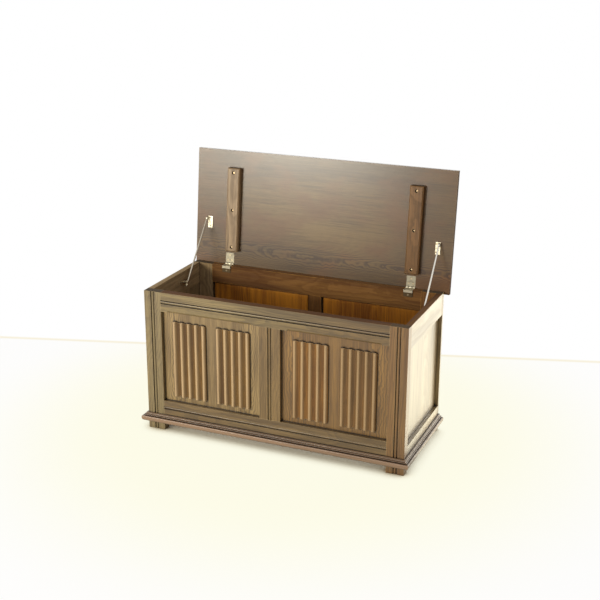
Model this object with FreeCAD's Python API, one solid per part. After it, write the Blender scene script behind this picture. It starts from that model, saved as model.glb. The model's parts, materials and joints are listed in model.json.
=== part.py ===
import FreeCAD, Part
import math
import os

# Coffer chest of framed and panelled oak with a hinged lid, drawn with the lid open.
# Millimetres, +Z up.  While it is built, y = 0 is the front face of the posts and z = 0
# is the floor.  The last step moves everything along Y, so that the origin lies on the
# floor under the middle of the open chest's outer box.

# ---- carcass ---------------------------------------------------------------------------
BODY_WIDTH = 1000.0
BODY_DEPTH = 412.0
RIM_HEIGHT = 540.0
POST_WIDTH = 66.0
FRAME_THICKNESS = 32.0        # front posts and rails, front to back
REAR_POST_WIDTH = 78.0
BACK_THICKNESS = 24.0         # rear posts and back rails, front to back
SIDE_THICKNESS = 22.0         # side rails
TOP_RAIL_HEIGHT = 72.0        # front and back
SIDE_RAIL_HEIGHT = 82.0
FOOT_HEIGHT = 31.0            # free height under the rails and the plinth moulding
FRONT_SILL_HEIGHT = 118.0     # floor to the top edge of the front and back bottom rails
SIDE_SILL_HEIGHT = 98.0       # floor to the top edge of the side bottom rails
MUNTIN_WIDTH = 80.0
FRONT_MUNTIN_X = -5.0
BACK_MUNTIN_WIDTH = 50.0
BACK_MUNTIN_X = 8.0
REAR_LIP = 10.0               # rear post left behind the side panel

# ---- panels and joints -----------------------------------------------------------------
PANEL_RECESS = 15.0           # front panels, from the face of the frame
BACK_PANEL_RECESS = 5.0       # back panels, from the back of the frame
PANEL_THICKNESS = 7.0
FIELD_RISE = 5.0              # the back panels' raised middle, toward the inside
FIELD_BEVEL = 8.0
FIELD_MARGIN = 2.0            # from the frame to the bevel
SIDE_RECESS = 14.0
SIDE_PANEL_THICKNESS = 5.0
GROOVE_DEPTH = 8.0
PANEL_PLAY = 1.0              # a panel floats this much short of the groove's bottom
TENON_LENGTH = 25.0
TENON_THICKNESS = 10.0
TENON_SHOULDER = 10.0         # rail left above and below its tenon
MUNTIN_TENON_LENGTH = 20.0
SIDE_TENON_LENGTH = 18.0
SIDE_TENON_THICKNESS = 8.0
TENON_PLAY = 1.0              # room for glue at the end of a tenon

# ---- scratched beads and stopped chamfers ----------------------------------------------
BEAD_RADIUS = 5.0
QUIRK_WIDTH = 2.6
QUIRK_DEPTH = 4.2
SILL_BEAD_RADIUS = 3.6
SILL_UPPER_QUIRK = 1.3        # depth of the shallow quirk above the sill's bead
SILL_LOWER_QUIRK = 3.2
CHAMFER_SIZE = 6.0
CHAMFER_STOP = 24.0           # frame left square at each end of a chamfer
CHAMFER_RUNOUT = 7.0

# ---- linenfold tablets -----------------------------------------------------------------
TABLET_WIDTH = 134.0
TABLET_FOOT = 21.5            # from the sill to the lower end of a tablet
TABLET_HEAD = 34.5            # from the upper end of a tablet to the top rail
FOLD_COUNT = 5
FOLD_MARGIN = 9.0             # from the tablet's edge to the crest of the first fold
FOLD_RELIEF = 12.0            # from the panel to the crests
FOLD_CREST_HALF_WIDTH = 5.0
FOLD_CREST_RISE = 3.0
FOLD_VALLEY_FLOOR = 3.5       # wood left under the valleys
SCALLOP_DEPTH = 4.5
TABLET_BEVEL = 3.5

# ---- plinth moulding -------------------------------------------------------------------
PLINTH_HEIGHT = 32.0
PLINTH_PROJECTION = 20.5
PLINTH_FILLET_HEIGHT = 2.6
PLINTH_FILLET_PROJECTION = 6.5
PLINTH_EASING = 0.8
COVE_HEIGHT = 4.2             # hollow between the fillet and the astragal
COVE_SAG = 1.2
ASTRAGAL_HEIGHT = 3.2         # the small round between the hollow and the nose
ASTRAGAL_PROJECTION = 11.5
NECK_GAP = 1.4                # groove under the astragal
NOSE_SHOULDER = 4.0           # rounding at the top of the nose
NOSE_FLAT = 5.0               # upright face of the nose
NOSE_UNDERCUT = 8.0           # how far the nose draws back at its lower edge

# ---- bottom ----------------------------------------------------------------------------
BOTTOM_THICKNESS = 12.0
BOTTOM_PLAY = 1.0
BEARER_SIZE = 20.0
BEARER_HEIGHT = 44.0          # floor to the underside of the bearers

# ---- lid -------------------------------------------------------------------------------
LID_THICKNESS = 20.0
LID_FRONT_OVERHANG = 21.0
LID_REAR_OVERHANG = 15.0
LID_SIDE_OVERHANG = 12.0
LID_SHIFT = 6.0               # the lid is hung a little to the right
LID_SEAT_GAP = 0.4
LID_EDGE_RADIUS = 3.0
LID_OPEN_ANGLE = 96.0
BATTEN_WIDTH = 50.0
BATTEN_THICKNESS = 22.0
BATTEN_LENGTH = 322.0
BATTEN_FROM_AXIS = 52.0
BATTEN_BEVEL = 4.0
BATTEN_INSETS = {"left": 153.0, "right": 124.0}   # from the chest's side to the middle
BATTEN_SCREW_INSET = 18.0
POCKET_RADIUS = 6.0
POCKET_DEPTH = 8.0

# ---- hinges ----------------------------------------------------------------------------
HINGE_INSETS = {"left": 139.5, "right": 127.5}    # from the chest's side to the middle
HINGE_WIDTH = 34.0
LEAF_THICKNESS = 2.0
LID_LEAF_LENGTH = 43.0
KNUCKLE_RADIUS = 4.0
KNUCKLE_SETBACK = 1.0         # from the back of the chest to the knuckles
KNUCKLE_CLEARANCE = 0.5
HINGE_PIN_RADIUS = 1.8
HINGE_PIN_CLEARANCE = 0.06
LEAF_TURN_DOWN = 26.0
LEAF_LIP_HEIGHT = 11.0        # doubled edge at the top of the turned-down end
LEAF_LIP_THICKNESS = 2.0
LEAF_CORNER_RADIUS = 3.0
APRON_SCREW_DROP = 19.0       # from the rim down to the screw in the turned-down end
LOW_SCREWS_FROM_AXIS = 15.0
HIGH_SCREW_FROM_AXIS = 33.0

# ---- lid stays -------------------------------------------------------------------------
STAY_ROD_RADIUS = 3.0
STAY_ROD_CLEARANCE = 0.08
STAY_INSETS = {"left": 19.0, "right": 8.0}        # from the side rail's inside to the rod
STAY_REACH = 170.0            # from the hinge axis to the guide, and to the rod's eye
GUIDE_DROP = 40.0             # from the hinge axis down to the guide
EYE_DROP = 11.0               # from the underside of the lid to the rod's eye
GUIDE_RADIUS = 6.5
GUIDE_HALF_WIDTH = 4.5
GUIDE_FACE_GAP = 0.3          # between the guide and the boss that it turns against
GUIDE_SHANK_RADIUS = 2.6
GUIDE_SHANK_CLEARANCE = 0.06
GUIDE_SHANK_END_GAP = 0.2
GUIDE_BOSS_RADIUS = 5.5
STAY_PLATE_LENGTH = 46.0
STAY_PLATE_HEIGHT = 14.0
STAY_PLATE_THICKNESS = 2.0
STAY_PLATE_CORNER_RADIUS = 5.0
STAY_PLATE_SCREW_SPACING = 34.0
EYE_RADIUS = 6.0
EYE_THICKNESS = 3.0
EYE_NECK = 2.0                # length of rod filed flat past the eye
EYE_CLEARANCE = 0.3
EYE_PIN_RADIUS = 2.0
EYE_PIN_CLEARANCE = 0.08
EYE_PIN_HEAD_RADIUS = 3.6
EYE_PIN_HEAD_HEIGHT = 1.5
EAR_THICKNESS = 2.0
EAR_WIDTH = 13.0
BRACKET_WIDTH = 18.0
BRACKET_LENGTH = 45.0
BRACKET_LIPS = {"left": 0.0, "right": 5.0}        # plate beyond the ear, away from the middle
BRACKET_THICKNESS = 2.0
BRACKET_OFFSET = 14.0         # the plate's middle is this much nearer the hinge than the eye
BRACKET_SCREW_SPACING = 31.0
COLLAR_RADIUS = 5.5
COLLAR_LENGTH = 6.0
COLLAR_GAP = 0.3              # between the guide and the collar when the lid is open
ROD_TAIL = 2.5

# ---- screws ----------------------------------------------------------------------------
SMALL_HEAD_RADIUS = 3.4
SMALL_HEAD_HEIGHT = 1.7
SMALL_SHANK_RADIUS = 1.6
SMALL_SCREW_LENGTH = 13.0
BIG_HEAD_RADIUS = 4.4
BIG_HEAD_HEIGHT = 2.6
BIG_HEAD_BEVEL = 1.3
BIG_SHANK_RADIUS = 2.2
BIG_SCREW_LENGTH = 25.0
HEAD_CLEARANCE = 0.1
SLOT_WIDTH = 0.9
SCREW_SIDES = 8               # a screw and its hole are turned with this many sides

SIDES = {"left": -1.0, "right": 1.0}
TINY = 0.01                   # for picking edges by their place
PAST = 1.0                    # how far a cutter runs past the face that it cuts

# ---- places that follow from the sizes above -------------------------------------------
HALF_WIDTH = BODY_WIDTH / 2
POST_INNER_X = HALF_WIDTH - POST_WIDTH
REAR_POST_INNER_X = HALF_WIDTH - REAR_POST_WIDTH
SIDE_INNER_X = HALF_WIDTH - SIDE_THICKNESS
BACK_INNER_Y = BODY_DEPTH - BACK_THICKNESS
RAIL_BOTTOM_Z = RIM_HEIGHT - TOP_RAIL_HEIGHT
SIDE_RAIL_BOTTOM_Z = RIM_HEIGHT - SIDE_RAIL_HEIGHT
TABLET_HEIGHT = RAIL_BOTTOM_Z - TABLET_HEAD - FRONT_SILL_HEIGHT - TABLET_FOOT
BATTEN_XS = {side: SIDES[side] * (HALF_WIDTH - inset) for side, inset in BATTEN_INSETS.items()}
HINGE_XS = {side: SIDES[side] * (HALF_WIDTH - inset) for side, inset in HINGE_INSETS.items()}
STAY_XS = {side: SIDES[side] * (SIDE_INNER_X - inset) for side, inset in STAY_INSETS.items()}
AXIS_Y = BODY_DEPTH + KNUCKLE_SETBACK + KNUCKLE_RADIUS
AXIS_Z = RIM_HEIGHT + LID_SEAT_GAP / 2
LID_UNDERSIDE_Z = RIM_HEIGHT + LID_SEAT_GAP
GUIDE_Y = AXIS_Y - math.sqrt(STAY_REACH ** 2 - GUIDE_DROP ** 2)
GUIDE_Z = AXIS_Z - GUIDE_DROP
EYE_Z = LID_UNDERSIDE_Z - EYE_DROP
EYE_Y = AXIS_Y - math.sqrt(STAY_REACH ** 2 - (AXIS_Z - EYE_Z) ** 2)

# The front frame and the back frame are joined in the same way, each from its own sizes.
FRONT = {"y": 0.0, "thickness": FRAME_THICKNESS, "inner_x": POST_INNER_X,
         "panel_y": PANEL_RECESS, "muntin_x": FRONT_MUNTIN_X, "muntin_width": MUNTIN_WIDTH}
BACK = {"y": BACK_INNER_Y, "thickness": BACK_THICKNESS, "inner_x": REAR_POST_INNER_X,
        "panel_y": BODY_DEPTH - BACK_PANEL_RECESS - PANEL_THICKNESS,
        "muntin_x": BACK_MUNTIN_X, "muntin_width": BACK_MUNTIN_WIDTH}


def vec(x, y, z):
    return FreeCAD.Vector(x, y, z)


def block(x0, x1, y0, y1, z0, z1):
    return Part.makeBox(x1 - x0, y1 - y0, z1 - z0, vec(x0, y0, z0))


def bar_x(radius, x0, x1, y, z):
    """A round bar along X, between x0 and x1 in either order."""
    return Part.makeCylinder(radius, abs(x1 - x0), vec(min(x0, x1), y, z), vec(1, 0, 0))


def side_block(sign, x0, x1, y0, y1, z0, z1):
    """A block between two distances from the middle, on the side that sign gives."""
    return block(min(sign * x0, sign * x1), max(sign * x0, sign * x1), y0, y1, z0, z1)


def solid_of(shape):
    """The one clean solid that a cut or a fuse leaves."""
    clean = shape.removeSplitter()
    return clean.Solids[0] if len(clean.Solids) == 1 else clean


def prism(edges, direction):
    return Part.Face(Part.Wire(edges)).extrude(direction)


def polygon_prism(points, direction):
    return Part.Face(Part.makePolygon(points + [points[0]])).extrude(direction)


# ---- scratched beads -------------------------------------------------------------------
def bead_half(radius, depth, turn, across):
    """Outline of what one half of a bead takes away: a quirk and the bead's shoulder.
    across is a unit vector over the face, turn is +1 or -1."""
    def at(a, b):
        return across * (turn * a) + vec(0, b, 0)

    angle = math.acos((radius - depth) / radius)
    reach = radius * math.sin(angle)
    outer = radius + QUIRK_WIDTH
    middle = at(radius * math.sin(angle / 2), radius - radius * math.cos(angle / 2))
    return [
        Part.makeLine(at(0, 0), at(outer, 0)),
        Part.makeLine(at(outer, 0), at(outer, depth)),
        Part.makeLine(at(outer, depth), at(reach, depth)),
        Part.Arc(at(reach, depth), middle, at(0, 0)).toShape(),
    ]


def bead_cutter(radius, depths, start, direction, across):
    """Both quirks of a bead that runs from start along direction on a front face."""
    cutters = []
    for turn, depth in zip((1, -1), depths):
        cutter = prism(bead_half(radius, depth, turn, across), direction)
        cutter.translate(start)
        cutters.append(cutter)
    return cutters[0].fuse(cutters[1])


def upright_bead(x, z0, z1):
    return bead_cutter(BEAD_RADIUS, (QUIRK_DEPTH, QUIRK_DEPTH), vec(x, 0, z0),
                       vec(0, 0, z1 - z0), vec(1, 0, 0))


def level_bead(radius, depths, z):
    return bead_cutter(radius, depths, vec(-POST_INNER_X, 0, z),
                       vec(2 * POST_INNER_X, 0, 0), vec(0, 0, 1))


def stopped_chamfer(x0, x1, z):
    """What a chamfer takes off the lower front edge of a rail, run out at both ends."""
    def triangle(x):
        return [vec(x, 0, z), vec(x, CHAMFER_SIZE, z), vec(x, 0, z + CHAMFER_SIZE)]

    first, last = triangle(x0 + CHAMFER_RUNOUT), triangle(x1 - CHAMFER_RUNOUT)
    tips = vec(x0, 0, z), vec(x1, 0, z)
    faces = []
    for i in range(3):
        j = (i + 1) % 3
        faces.append([first[i], first[j], last[j], last[i]])
        faces.append([tips[0], first[j], first[i]])
        faces.append([tips[1], last[i], last[j]])
    shell = Part.Shell([Part.Face(Part.makePolygon(f + [f[0]])) for f in faces])
    return Part.Solid(shell)


# ---- posts -----------------------------------------------------------------------------
def front_post(sign):
    mid_x = sign * (HALF_WIDTH - POST_WIDTH / 2)
    post = side_block(sign, POST_INNER_X, HALF_WIDTH, 0, FRAME_THICKNESS, 0, RIM_HEIGHT)
    cutters = [upright_bead(mid_x, 0, RIM_HEIGHT)]
    cutters.append(side_block(sign, POST_INNER_X, POST_INNER_X + GROOVE_DEPTH,
                              PANEL_RECESS, PANEL_RECESS + PANEL_THICKNESS,
                              FRONT_SILL_HEIGHT - GROOVE_DEPTH, RAIL_BOTTOM_Z + GROOVE_DEPTH))
    cutters += rail_mortises(sign, FRONT)
    cutters.append(side_block(sign, HALF_WIDTH - SIDE_RECESS - SIDE_PANEL_THICKNESS,
                              HALF_WIDTH - SIDE_RECESS,
                              FRAME_THICKNESS - GROOVE_DEPTH, FRAME_THICKNESS,
                              SIDE_SILL_HEIGHT - GROOVE_DEPTH,
                              SIDE_RAIL_BOTTOM_Z + GROOVE_DEPTH))
    cutters += side_mortises(sign, FRAME_THICKNESS - SIDE_TENON_LENGTH - TENON_PLAY,
                             FRAME_THICKNESS)
    return post.cut(cutters)


def rear_post(sign):
    lip_y = BODY_DEPTH - REAR_LIP
    panel_x = HALF_WIDTH - SIDE_RECESS
    inner_x, panel_y = BACK["inner_x"], BACK["panel_y"]
    post = side_block(sign, inner_x, HALF_WIDTH, BACK_INNER_Y, BODY_DEPTH, 0, RIM_HEIGHT)
    cutters = [side_block(sign, inner_x, inner_x + GROOVE_DEPTH,
                          panel_y, panel_y + PANEL_THICKNESS,
                          FRONT_SILL_HEIGHT - GROOVE_DEPTH, RAIL_BOTTOM_Z + GROOVE_DEPTH)]
    cutters += rail_mortises(sign, BACK)
    cutters.append(side_block(sign, panel_x, HALF_WIDTH, BACK_INNER_Y, lip_y,
                              SIDE_SILL_HEIGHT, SIDE_RAIL_BOTTOM_Z))
    cutters.append(side_block(sign, panel_x - SIDE_PANEL_THICKNESS, panel_x,
                              BACK_INNER_Y, lip_y,
                              SIDE_SILL_HEIGHT - GROOVE_DEPTH,
                              SIDE_RAIL_BOTTOM_Z + GROOVE_DEPTH))
    cutters += side_mortises(sign, BACK_INNER_Y,
                             BACK_INNER_Y + SIDE_TENON_LENGTH + TENON_PLAY)
    return post.cut(cutters)


def tenon_front(frame):
    """Where the tenons of a frame begin, front to back: they are in its middle."""
    return frame["y"] + (frame["thickness"] - TENON_THICKNESS) / 2


def rail_mortises(sign, frame):
    """Mortises in a post's inner edge, for a top rail and a bottom rail."""
    y0 = tenon_front(frame)
    reach = frame["inner_x"] + TENON_LENGTH + TENON_PLAY
    heights = ((RAIL_BOTTOM_Z, RIM_HEIGHT), (FOOT_HEIGHT, FRONT_SILL_HEIGHT))
    return [side_block(sign, frame["inner_x"], reach, y0, y0 + TENON_THICKNESS,
                       z0 + TENON_SHOULDER, z1 - TENON_SHOULDER) for z0, z1 in heights]


def side_mortises(sign, y0, y1):
    """Mortises in a post's front or rear face, for the two side rails."""
    x0 = HALF_WIDTH - (SIDE_THICKNESS + SIDE_TENON_THICKNESS) / 2
    heights = ((SIDE_RAIL_BOTTOM_Z, RIM_HEIGHT), (FOOT_HEIGHT, SIDE_SILL_HEIGHT))
    return [side_block(sign, x0, x0 + SIDE_TENON_THICKNESS, y0, y1,
                       z0 + TENON_SHOULDER, z1 - TENON_SHOULDER) for z0, z1 in heights]


# ---- rails and muntins -----------------------------------------------------------------
def long_rail(frame, z0, z1, groove_up):
    """A front or back rail: tenons at both ends, a panel groove and a muntin mortise."""
    tenon_y, panel_y, muntin_x = tenon_front(frame), frame["panel_y"], frame["muntin_x"]
    inner_x = frame["inner_x"]
    reach = inner_x + TENON_LENGTH
    rail = block(-inner_x, inner_x, frame["y"], frame["y"] + frame["thickness"], z0, z1)
    rail = rail.fuse(block(-reach, reach, tenon_y, tenon_y + TENON_THICKNESS,
                           z0 + TENON_SHOULDER, z1 - TENON_SHOULDER))
    edge, inward = (z0, 1) if groove_up else (z1, -1)
    groove_z = sorted((edge, edge + inward * GROOVE_DEPTH))
    mortise_z = sorted((edge, edge + inward * (MUNTIN_TENON_LENGTH + TENON_PLAY)))
    half = frame["muntin_width"] / 2 - TENON_SHOULDER
    groove = block(-inner_x, inner_x, panel_y, panel_y + PANEL_THICKNESS, *groove_z)
    mortise = block(muntin_x - half, muntin_x + half,
                    tenon_y, tenon_y + TENON_THICKNESS, *mortise_z)
    return rail.cut([groove, mortise])


def front_top_rail():
    rail = long_rail(FRONT, RAIL_BOTTOM_Z, RIM_HEIGHT, True)
    cutters = [level_bead(BEAD_RADIUS, (QUIRK_DEPTH, QUIRK_DEPTH),
                          RIM_HEIGHT - TOP_RAIL_HEIGHT / 2)]
    for x0, x1 in openings(FRONT):
        cutters.append(stopped_chamfer(x0 + CHAMFER_STOP, x1 - CHAMFER_STOP, RAIL_BOTTOM_Z))
    return rail.cut(cutters)


def front_bottom_rail():
    rail = long_rail(FRONT, FOOT_HEIGHT, FRONT_SILL_HEIGHT, False)
    bead_z = (FRONT_SILL_HEIGHT + FOOT_HEIGHT + PLINTH_HEIGHT) / 2
    return rail.cut(level_bead(SILL_BEAD_RADIUS, (SILL_UPPER_QUIRK, SILL_LOWER_QUIRK), bead_z))


def muntin(frame):
    """The upright between two panels, with a tenon at each end."""
    tenon_y, panel_y, mid_x = tenon_front(frame), frame["panel_y"], frame["muntin_x"]
    half = frame["muntin_width"] / 2
    body = block(mid_x - half, mid_x + half, frame["y"], frame["y"] + frame["thickness"],
                 FRONT_SILL_HEIGHT, RAIL_BOTTOM_Z)
    tenons = block(mid_x - half + TENON_SHOULDER, mid_x + half - TENON_SHOULDER,
                   tenon_y, tenon_y + TENON_THICKNESS,
                   FRONT_SILL_HEIGHT - MUNTIN_TENON_LENGTH, RAIL_BOTTOM_Z + MUNTIN_TENON_LENGTH)
    grooves = [block(x0, x0 + GROOVE_DEPTH, panel_y, panel_y + PANEL_THICKNESS,
                     FRONT_SILL_HEIGHT, RAIL_BOTTOM_Z)
               for x0 in (mid_x - half, mid_x + half - GROOVE_DEPTH)]
    return body.cut(grooves).fuse(tenons)


def front_muntin():
    return muntin(FRONT).cut(upright_bead(FRONT_MUNTIN_X, FRONT_SILL_HEIGHT, RAIL_BOTTOM_Z))


def side_rail(sign, z0, z1, groove_up):
    """A rail between a front post and a rear post, grooved for the side panel."""
    tenon_x = HALF_WIDTH - (SIDE_THICKNESS + SIDE_TENON_THICKNESS) / 2
    panel_x = HALF_WIDTH - SIDE_RECESS
    rail = side_block(sign, SIDE_INNER_X, HALF_WIDTH, FRAME_THICKNESS, BACK_INNER_Y, z0, z1)
    rail = rail.fuse(side_block(sign, tenon_x, tenon_x + SIDE_TENON_THICKNESS,
                                FRAME_THICKNESS - SIDE_TENON_LENGTH,
                                BACK_INNER_Y + SIDE_TENON_LENGTH,
                                z0 + TENON_SHOULDER, z1 - TENON_SHOULDER))
    edge, inward = (z0, 1) if groove_up else (z1, -1)
    groove_z = sorted((edge, edge + inward * GROOVE_DEPTH))
    return rail.cut(side_block(sign, panel_x - SIDE_PANEL_THICKNESS, panel_x,
                               FRAME_THICKNESS, BACK_INNER_Y, *groove_z))


# ---- panels ----------------------------------------------------------------------------
def openings(frame):
    """The two spaces between the posts and a muntin, as pairs of x."""
    half, mid_x = frame["muntin_width"] / 2, frame["muntin_x"]
    return (-frame["inner_x"], mid_x - half), (mid_x + half, frame["inner_x"])


def long_panel(opening, panel_y):
    """A front or back panel, with its edges in the grooves round the opening."""
    margin = GROOVE_DEPTH - PANEL_PLAY
    x0, x1 = opening
    return block(x0 - margin, x1 + margin, panel_y, panel_y + PANEL_THICKNESS,
                 FRONT_SILL_HEIGHT - margin, RAIL_BOTTOM_Z + margin)


def raised_field(opening, panel_y):
    """The thick middle of a back panel, bevelled all round on the inside of the chest."""
    rings = []
    for inset, rise in ((FIELD_MARGIN, 0), (FIELD_MARGIN + FIELD_BEVEL, FIELD_RISE)):
        x0, x1 = opening[0] + inset, opening[1] - inset
        z0, z1 = FRONT_SILL_HEIGHT + inset, RAIL_BOTTOM_Z - inset
        corners = [vec(x, panel_y - rise, z) for x, z in ((x0, z0), (x1, z0), (x1, z1), (x0, z1))]
        rings.append(Part.makePolygon(corners + [corners[0]]))
    return Part.makeLoft(rings, True, True)


def back_panel(opening):
    panel_y = BACK["panel_y"]
    return solid_of(long_panel(opening, panel_y).fuse(raised_field(opening, panel_y)))


def side_panel(sign):
    """The panel runs from the front post's groove into the rear post's rebate."""
    margin = GROOVE_DEPTH - PANEL_PLAY
    panel_x = HALF_WIDTH - SIDE_RECESS
    return side_block(sign, panel_x - SIDE_PANEL_THICKNESS, panel_x,
                      FRAME_THICKNESS - margin, BODY_DEPTH - REAR_LIP,
                      SIDE_SILL_HEIGHT - margin, SIDE_RAIL_BOTTOM_Z + margin)


# ---- linenfold -------------------------------------------------------------------------
def fold_crests(x0):
    pitch = (TABLET_WIDTH - 2 * FOLD_MARGIN) / (FOLD_COUNT - 1)
    return [x0 + FOLD_MARGIN + i * pitch for i in range(FOLD_COUNT)]


def fold_profile(x0):
    """The folds in plan: round crests joined by hollow valleys, flat at the back."""
    back = PANEL_RECESS
    crest = back - FOLD_RELIEF
    shoulder = crest + FOLD_CREST_RISE
    valley = back - FOLD_VALLEY_FLOOR
    half = FOLD_CREST_HALF_WIDTH
    x1 = x0 + TABLET_WIDTH
    crests = fold_crests(x0)
    edges = [Part.makeLine(vec(x1, back, 0), vec(x0, back, 0))]
    edges.append(Part.makeLine(vec(x0, back, 0), vec(x0, valley, 0)))
    last = vec(x0, valley, 0)
    for i, x in enumerate(crests):
        left, right = vec(x - half, shoulder, 0), vec(x + half, shoulder, 0)
        if i == 0:
            edges.append(Part.makeLine(last, left))
        else:
            middle = vec((last.x + left.x) / 2, valley, 0)
            edges.append(Part.Arc(last, middle, left).toShape())
        edges.append(Part.Arc(left, vec(x, crest, 0), right).toShape())
        last = right
    edges.append(Part.makeLine(last, vec(x1, valley, 0)))
    edges.append(Part.makeLine(vec(x1, valley, 0), vec(x1, back, 0)))
    return edges


def scallop_outline(x0, z0, z1):
    """The front outline: each end of each fold is rounded, with cusps in the valleys."""
    crests = fold_crests(x0)
    cusps = [x0] + [(a + b) / 2 for a, b in zip(crests, crests[1:])] + [x0 + TABLET_WIDTH]
    low, high = z0 + SCALLOP_DEPTH, z1 - SCALLOP_DEPTH
    edges = []
    for i, x in enumerate(crests):
        start, end = cusps[i], cusps[i + 1]
        edges.append(Part.Arc(vec(start, 0, low), vec(x, 0, z0), vec(end, 0, low)).toShape())
    edges.append(Part.makeLine(vec(cusps[-1], 0, low), vec(cusps[-1], 0, high)))
    for i, x in reversed(list(enumerate(crests))):
        start, end = cusps[i + 1], cusps[i]
        edges.append(Part.Arc(vec(start, 0, high), vec(x, 0, z1), vec(end, 0, high)).toShape())
    edges.append(Part.makeLine(vec(cusps[0], 0, high), vec(cusps[0], 0, low)))
    return edges


def linenfold_tablet(x0):
    """A carved tablet of folded linen, glued to the front of a panel."""
    z0 = FRONT_SILL_HEIGHT + TABLET_FOOT
    z1 = z0 + TABLET_HEIGHT
    back = PANEL_RECESS
    crest = back - FOLD_RELIEF
    folds = prism(fold_profile(x0), vec(0, 0, z1 - z0))
    folds.translate(vec(0, 0, z0))
    scallops = prism(scallop_outline(x0, z0, z1), vec(0, back, 0))
    bevelled = polygon_prism([vec(x0, back, z0), vec(x0, crest + TABLET_BEVEL, z0),
                              vec(x0, crest, z0 + TABLET_BEVEL),
                              vec(x0, crest, z1 - TABLET_BEVEL),
                              vec(x0, crest + TABLET_BEVEL, z1), vec(x0, back, z1)],
                             vec(TABLET_WIDTH, 0, 0))
    return folds.common(scallops).common(bevelled)


def tablet_places():
    """Left edge of each tablet: two in each opening, with three equal spaces."""
    places = []
    for x0, x1 in openings(FRONT):
        space = (x1 - x0 - 2 * TABLET_WIDTH) / 3
        places += [x0 + space, x0 + 2 * space + TABLET_WIDTH]
    return places


# ---- plinth moulding -------------------------------------------------------------------
def plinth_edges(place):
    """Section of the moulding: fillet, hollow, astragal and nose, flat at back and foot.
    place turns (out from the face, height) into a point."""
    top = FOOT_HEIGHT + PLINTH_HEIGHT
    fillet, fillet_low = PLINTH_FILLET_PROJECTION, top - PLINTH_FILLET_HEIGHT
    neck = ASTRAGAL_PROJECTION
    astragal_top = fillet_low - COVE_HEIGHT
    astragal_low = astragal_top - ASTRAGAL_HEIGHT
    nose_top = astragal_low - NECK_GAP
    nose = PLINTH_PROJECTION
    face_top = nose_top - NOSE_SHOULDER
    face_low = face_top - NOSE_FLAT
    bulge = ASTRAGAL_HEIGHT / 2
    bend = NOSE_SHOULDER * (1 - math.sqrt(0.5))
    drop = face_low - FOOT_HEIGHT
    radius = (drop ** 2 + NOSE_UNDERCUT ** 2) / (2 * NOSE_UNDERCUT)
    curl = math.asin(drop / radius) / 2
    return [
        Part.makeLine(place(0, FOOT_HEIGHT), place(0, top)),
        Part.makeLine(place(0, top), place(fillet - PLINTH_EASING, top)),
        Part.makeLine(place(fillet - PLINTH_EASING, top), place(fillet, top - PLINTH_EASING)),
        Part.makeLine(place(fillet, top - PLINTH_EASING), place(fillet, fillet_low)),
        Part.Arc(place(fillet, fillet_low),
                 place((fillet + neck) / 2 - COVE_SAG, (fillet_low + astragal_top) / 2 - COVE_SAG),
                 place(neck, astragal_top)).toShape(),
        Part.Arc(place(neck, astragal_top), place(neck + bulge, astragal_top - bulge),
                 place(neck, astragal_low)).toShape(),
        Part.makeLine(place(neck, astragal_low), place(neck, nose_top)),
        Part.makeLine(place(neck, nose_top), place(nose - NOSE_SHOULDER, nose_top)),
        Part.Arc(place(nose - NOSE_SHOULDER, nose_top), place(nose - bend, nose_top - bend),
                 place(nose, face_top)).toShape(),
        Part.makeLine(place(nose, face_top), place(nose, face_low)),
        Part.Arc(place(nose, face_low),
                 place(nose - radius * (1 - math.cos(curl)), face_low - radius * math.sin(curl)),
                 place(nose - NOSE_UNDERCUT, FOOT_HEIGHT)).toShape(),
        Part.makeLine(place(nose - NOSE_UNDERCUT, FOOT_HEIGHT), place(0, FOOT_HEIGHT)),
    ]


def mitre_block(sign):
    """Everything beyond the mitre of one front corner, on the side piece's side."""
    reach = 2 * PLINTH_PROJECTION
    corner = [vec(sign * HALF_WIDTH, 0, 0),
              vec(sign * (HALF_WIDTH + reach), -reach, 0),
              vec(sign * (HALF_WIDTH + reach), BODY_DEPTH, 0),
              vec(sign * HALF_WIDTH, BODY_DEPTH, 0)]
    return polygon_prism(corner, vec(0, 0, RIM_HEIGHT))


def plinth_front():
    reach = HALF_WIDTH + PLINTH_PROJECTION
    strip = prism(plinth_edges(lambda out, z: vec(-reach, -out, z)), vec(2 * reach, 0, 0))
    return strip.cut([mitre_block(sign) for sign in SIDES.values()])


def plinth_side(sign):
    length = BODY_DEPTH + PLINTH_PROJECTION

    def place(out, z):
        return vec(sign * (HALF_WIDTH + out), -PLINTH_PROJECTION, z)

    strip = prism(plinth_edges(place), vec(0, length, 0))
    return strip.common(mitre_block(sign))


# ---- bottom ----------------------------------------------------------------------------
def bottom_board():
    z0 = BEARER_HEIGHT + BEARER_SIZE
    return block(-SIDE_INNER_X + BOTTOM_PLAY, SIDE_INNER_X - BOTTOM_PLAY,
                 FRAME_THICKNESS + BOTTOM_PLAY, BACK_INNER_Y - BOTTOM_PLAY,
                 z0, z0 + BOTTOM_THICKNESS)


def bearer(y0):
    return block(-POST_INNER_X, POST_INNER_X, y0, y0 + BEARER_SIZE,
                 BEARER_HEIGHT, BEARER_HEIGHT + BEARER_SIZE)


# ---- screws ----------------------------------------------------------------------------
def stand(shape, point, outward):
    """Turn a shape built along +Z so that +Z points outward, and move it to point."""
    shape.Placement = FreeCAD.Placement(point, FreeCAD.Rotation(vec(0, 0, 1), outward))
    return shape


def turned(*stations):
    """A small turned part about Z, through stations of (radius, z), with few faces."""
    rings = []
    for radius, z in stations:
        angles = [2 * math.pi * i / SCREW_SIDES for i in range(SCREW_SIDES)]
        points = [vec(radius * math.cos(a), radius * math.sin(a), z) for a in angles]
        rings.append(Part.makePolygon(points + [points[0]]))
    return Part.makeLoft(rings, True, True)


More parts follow.
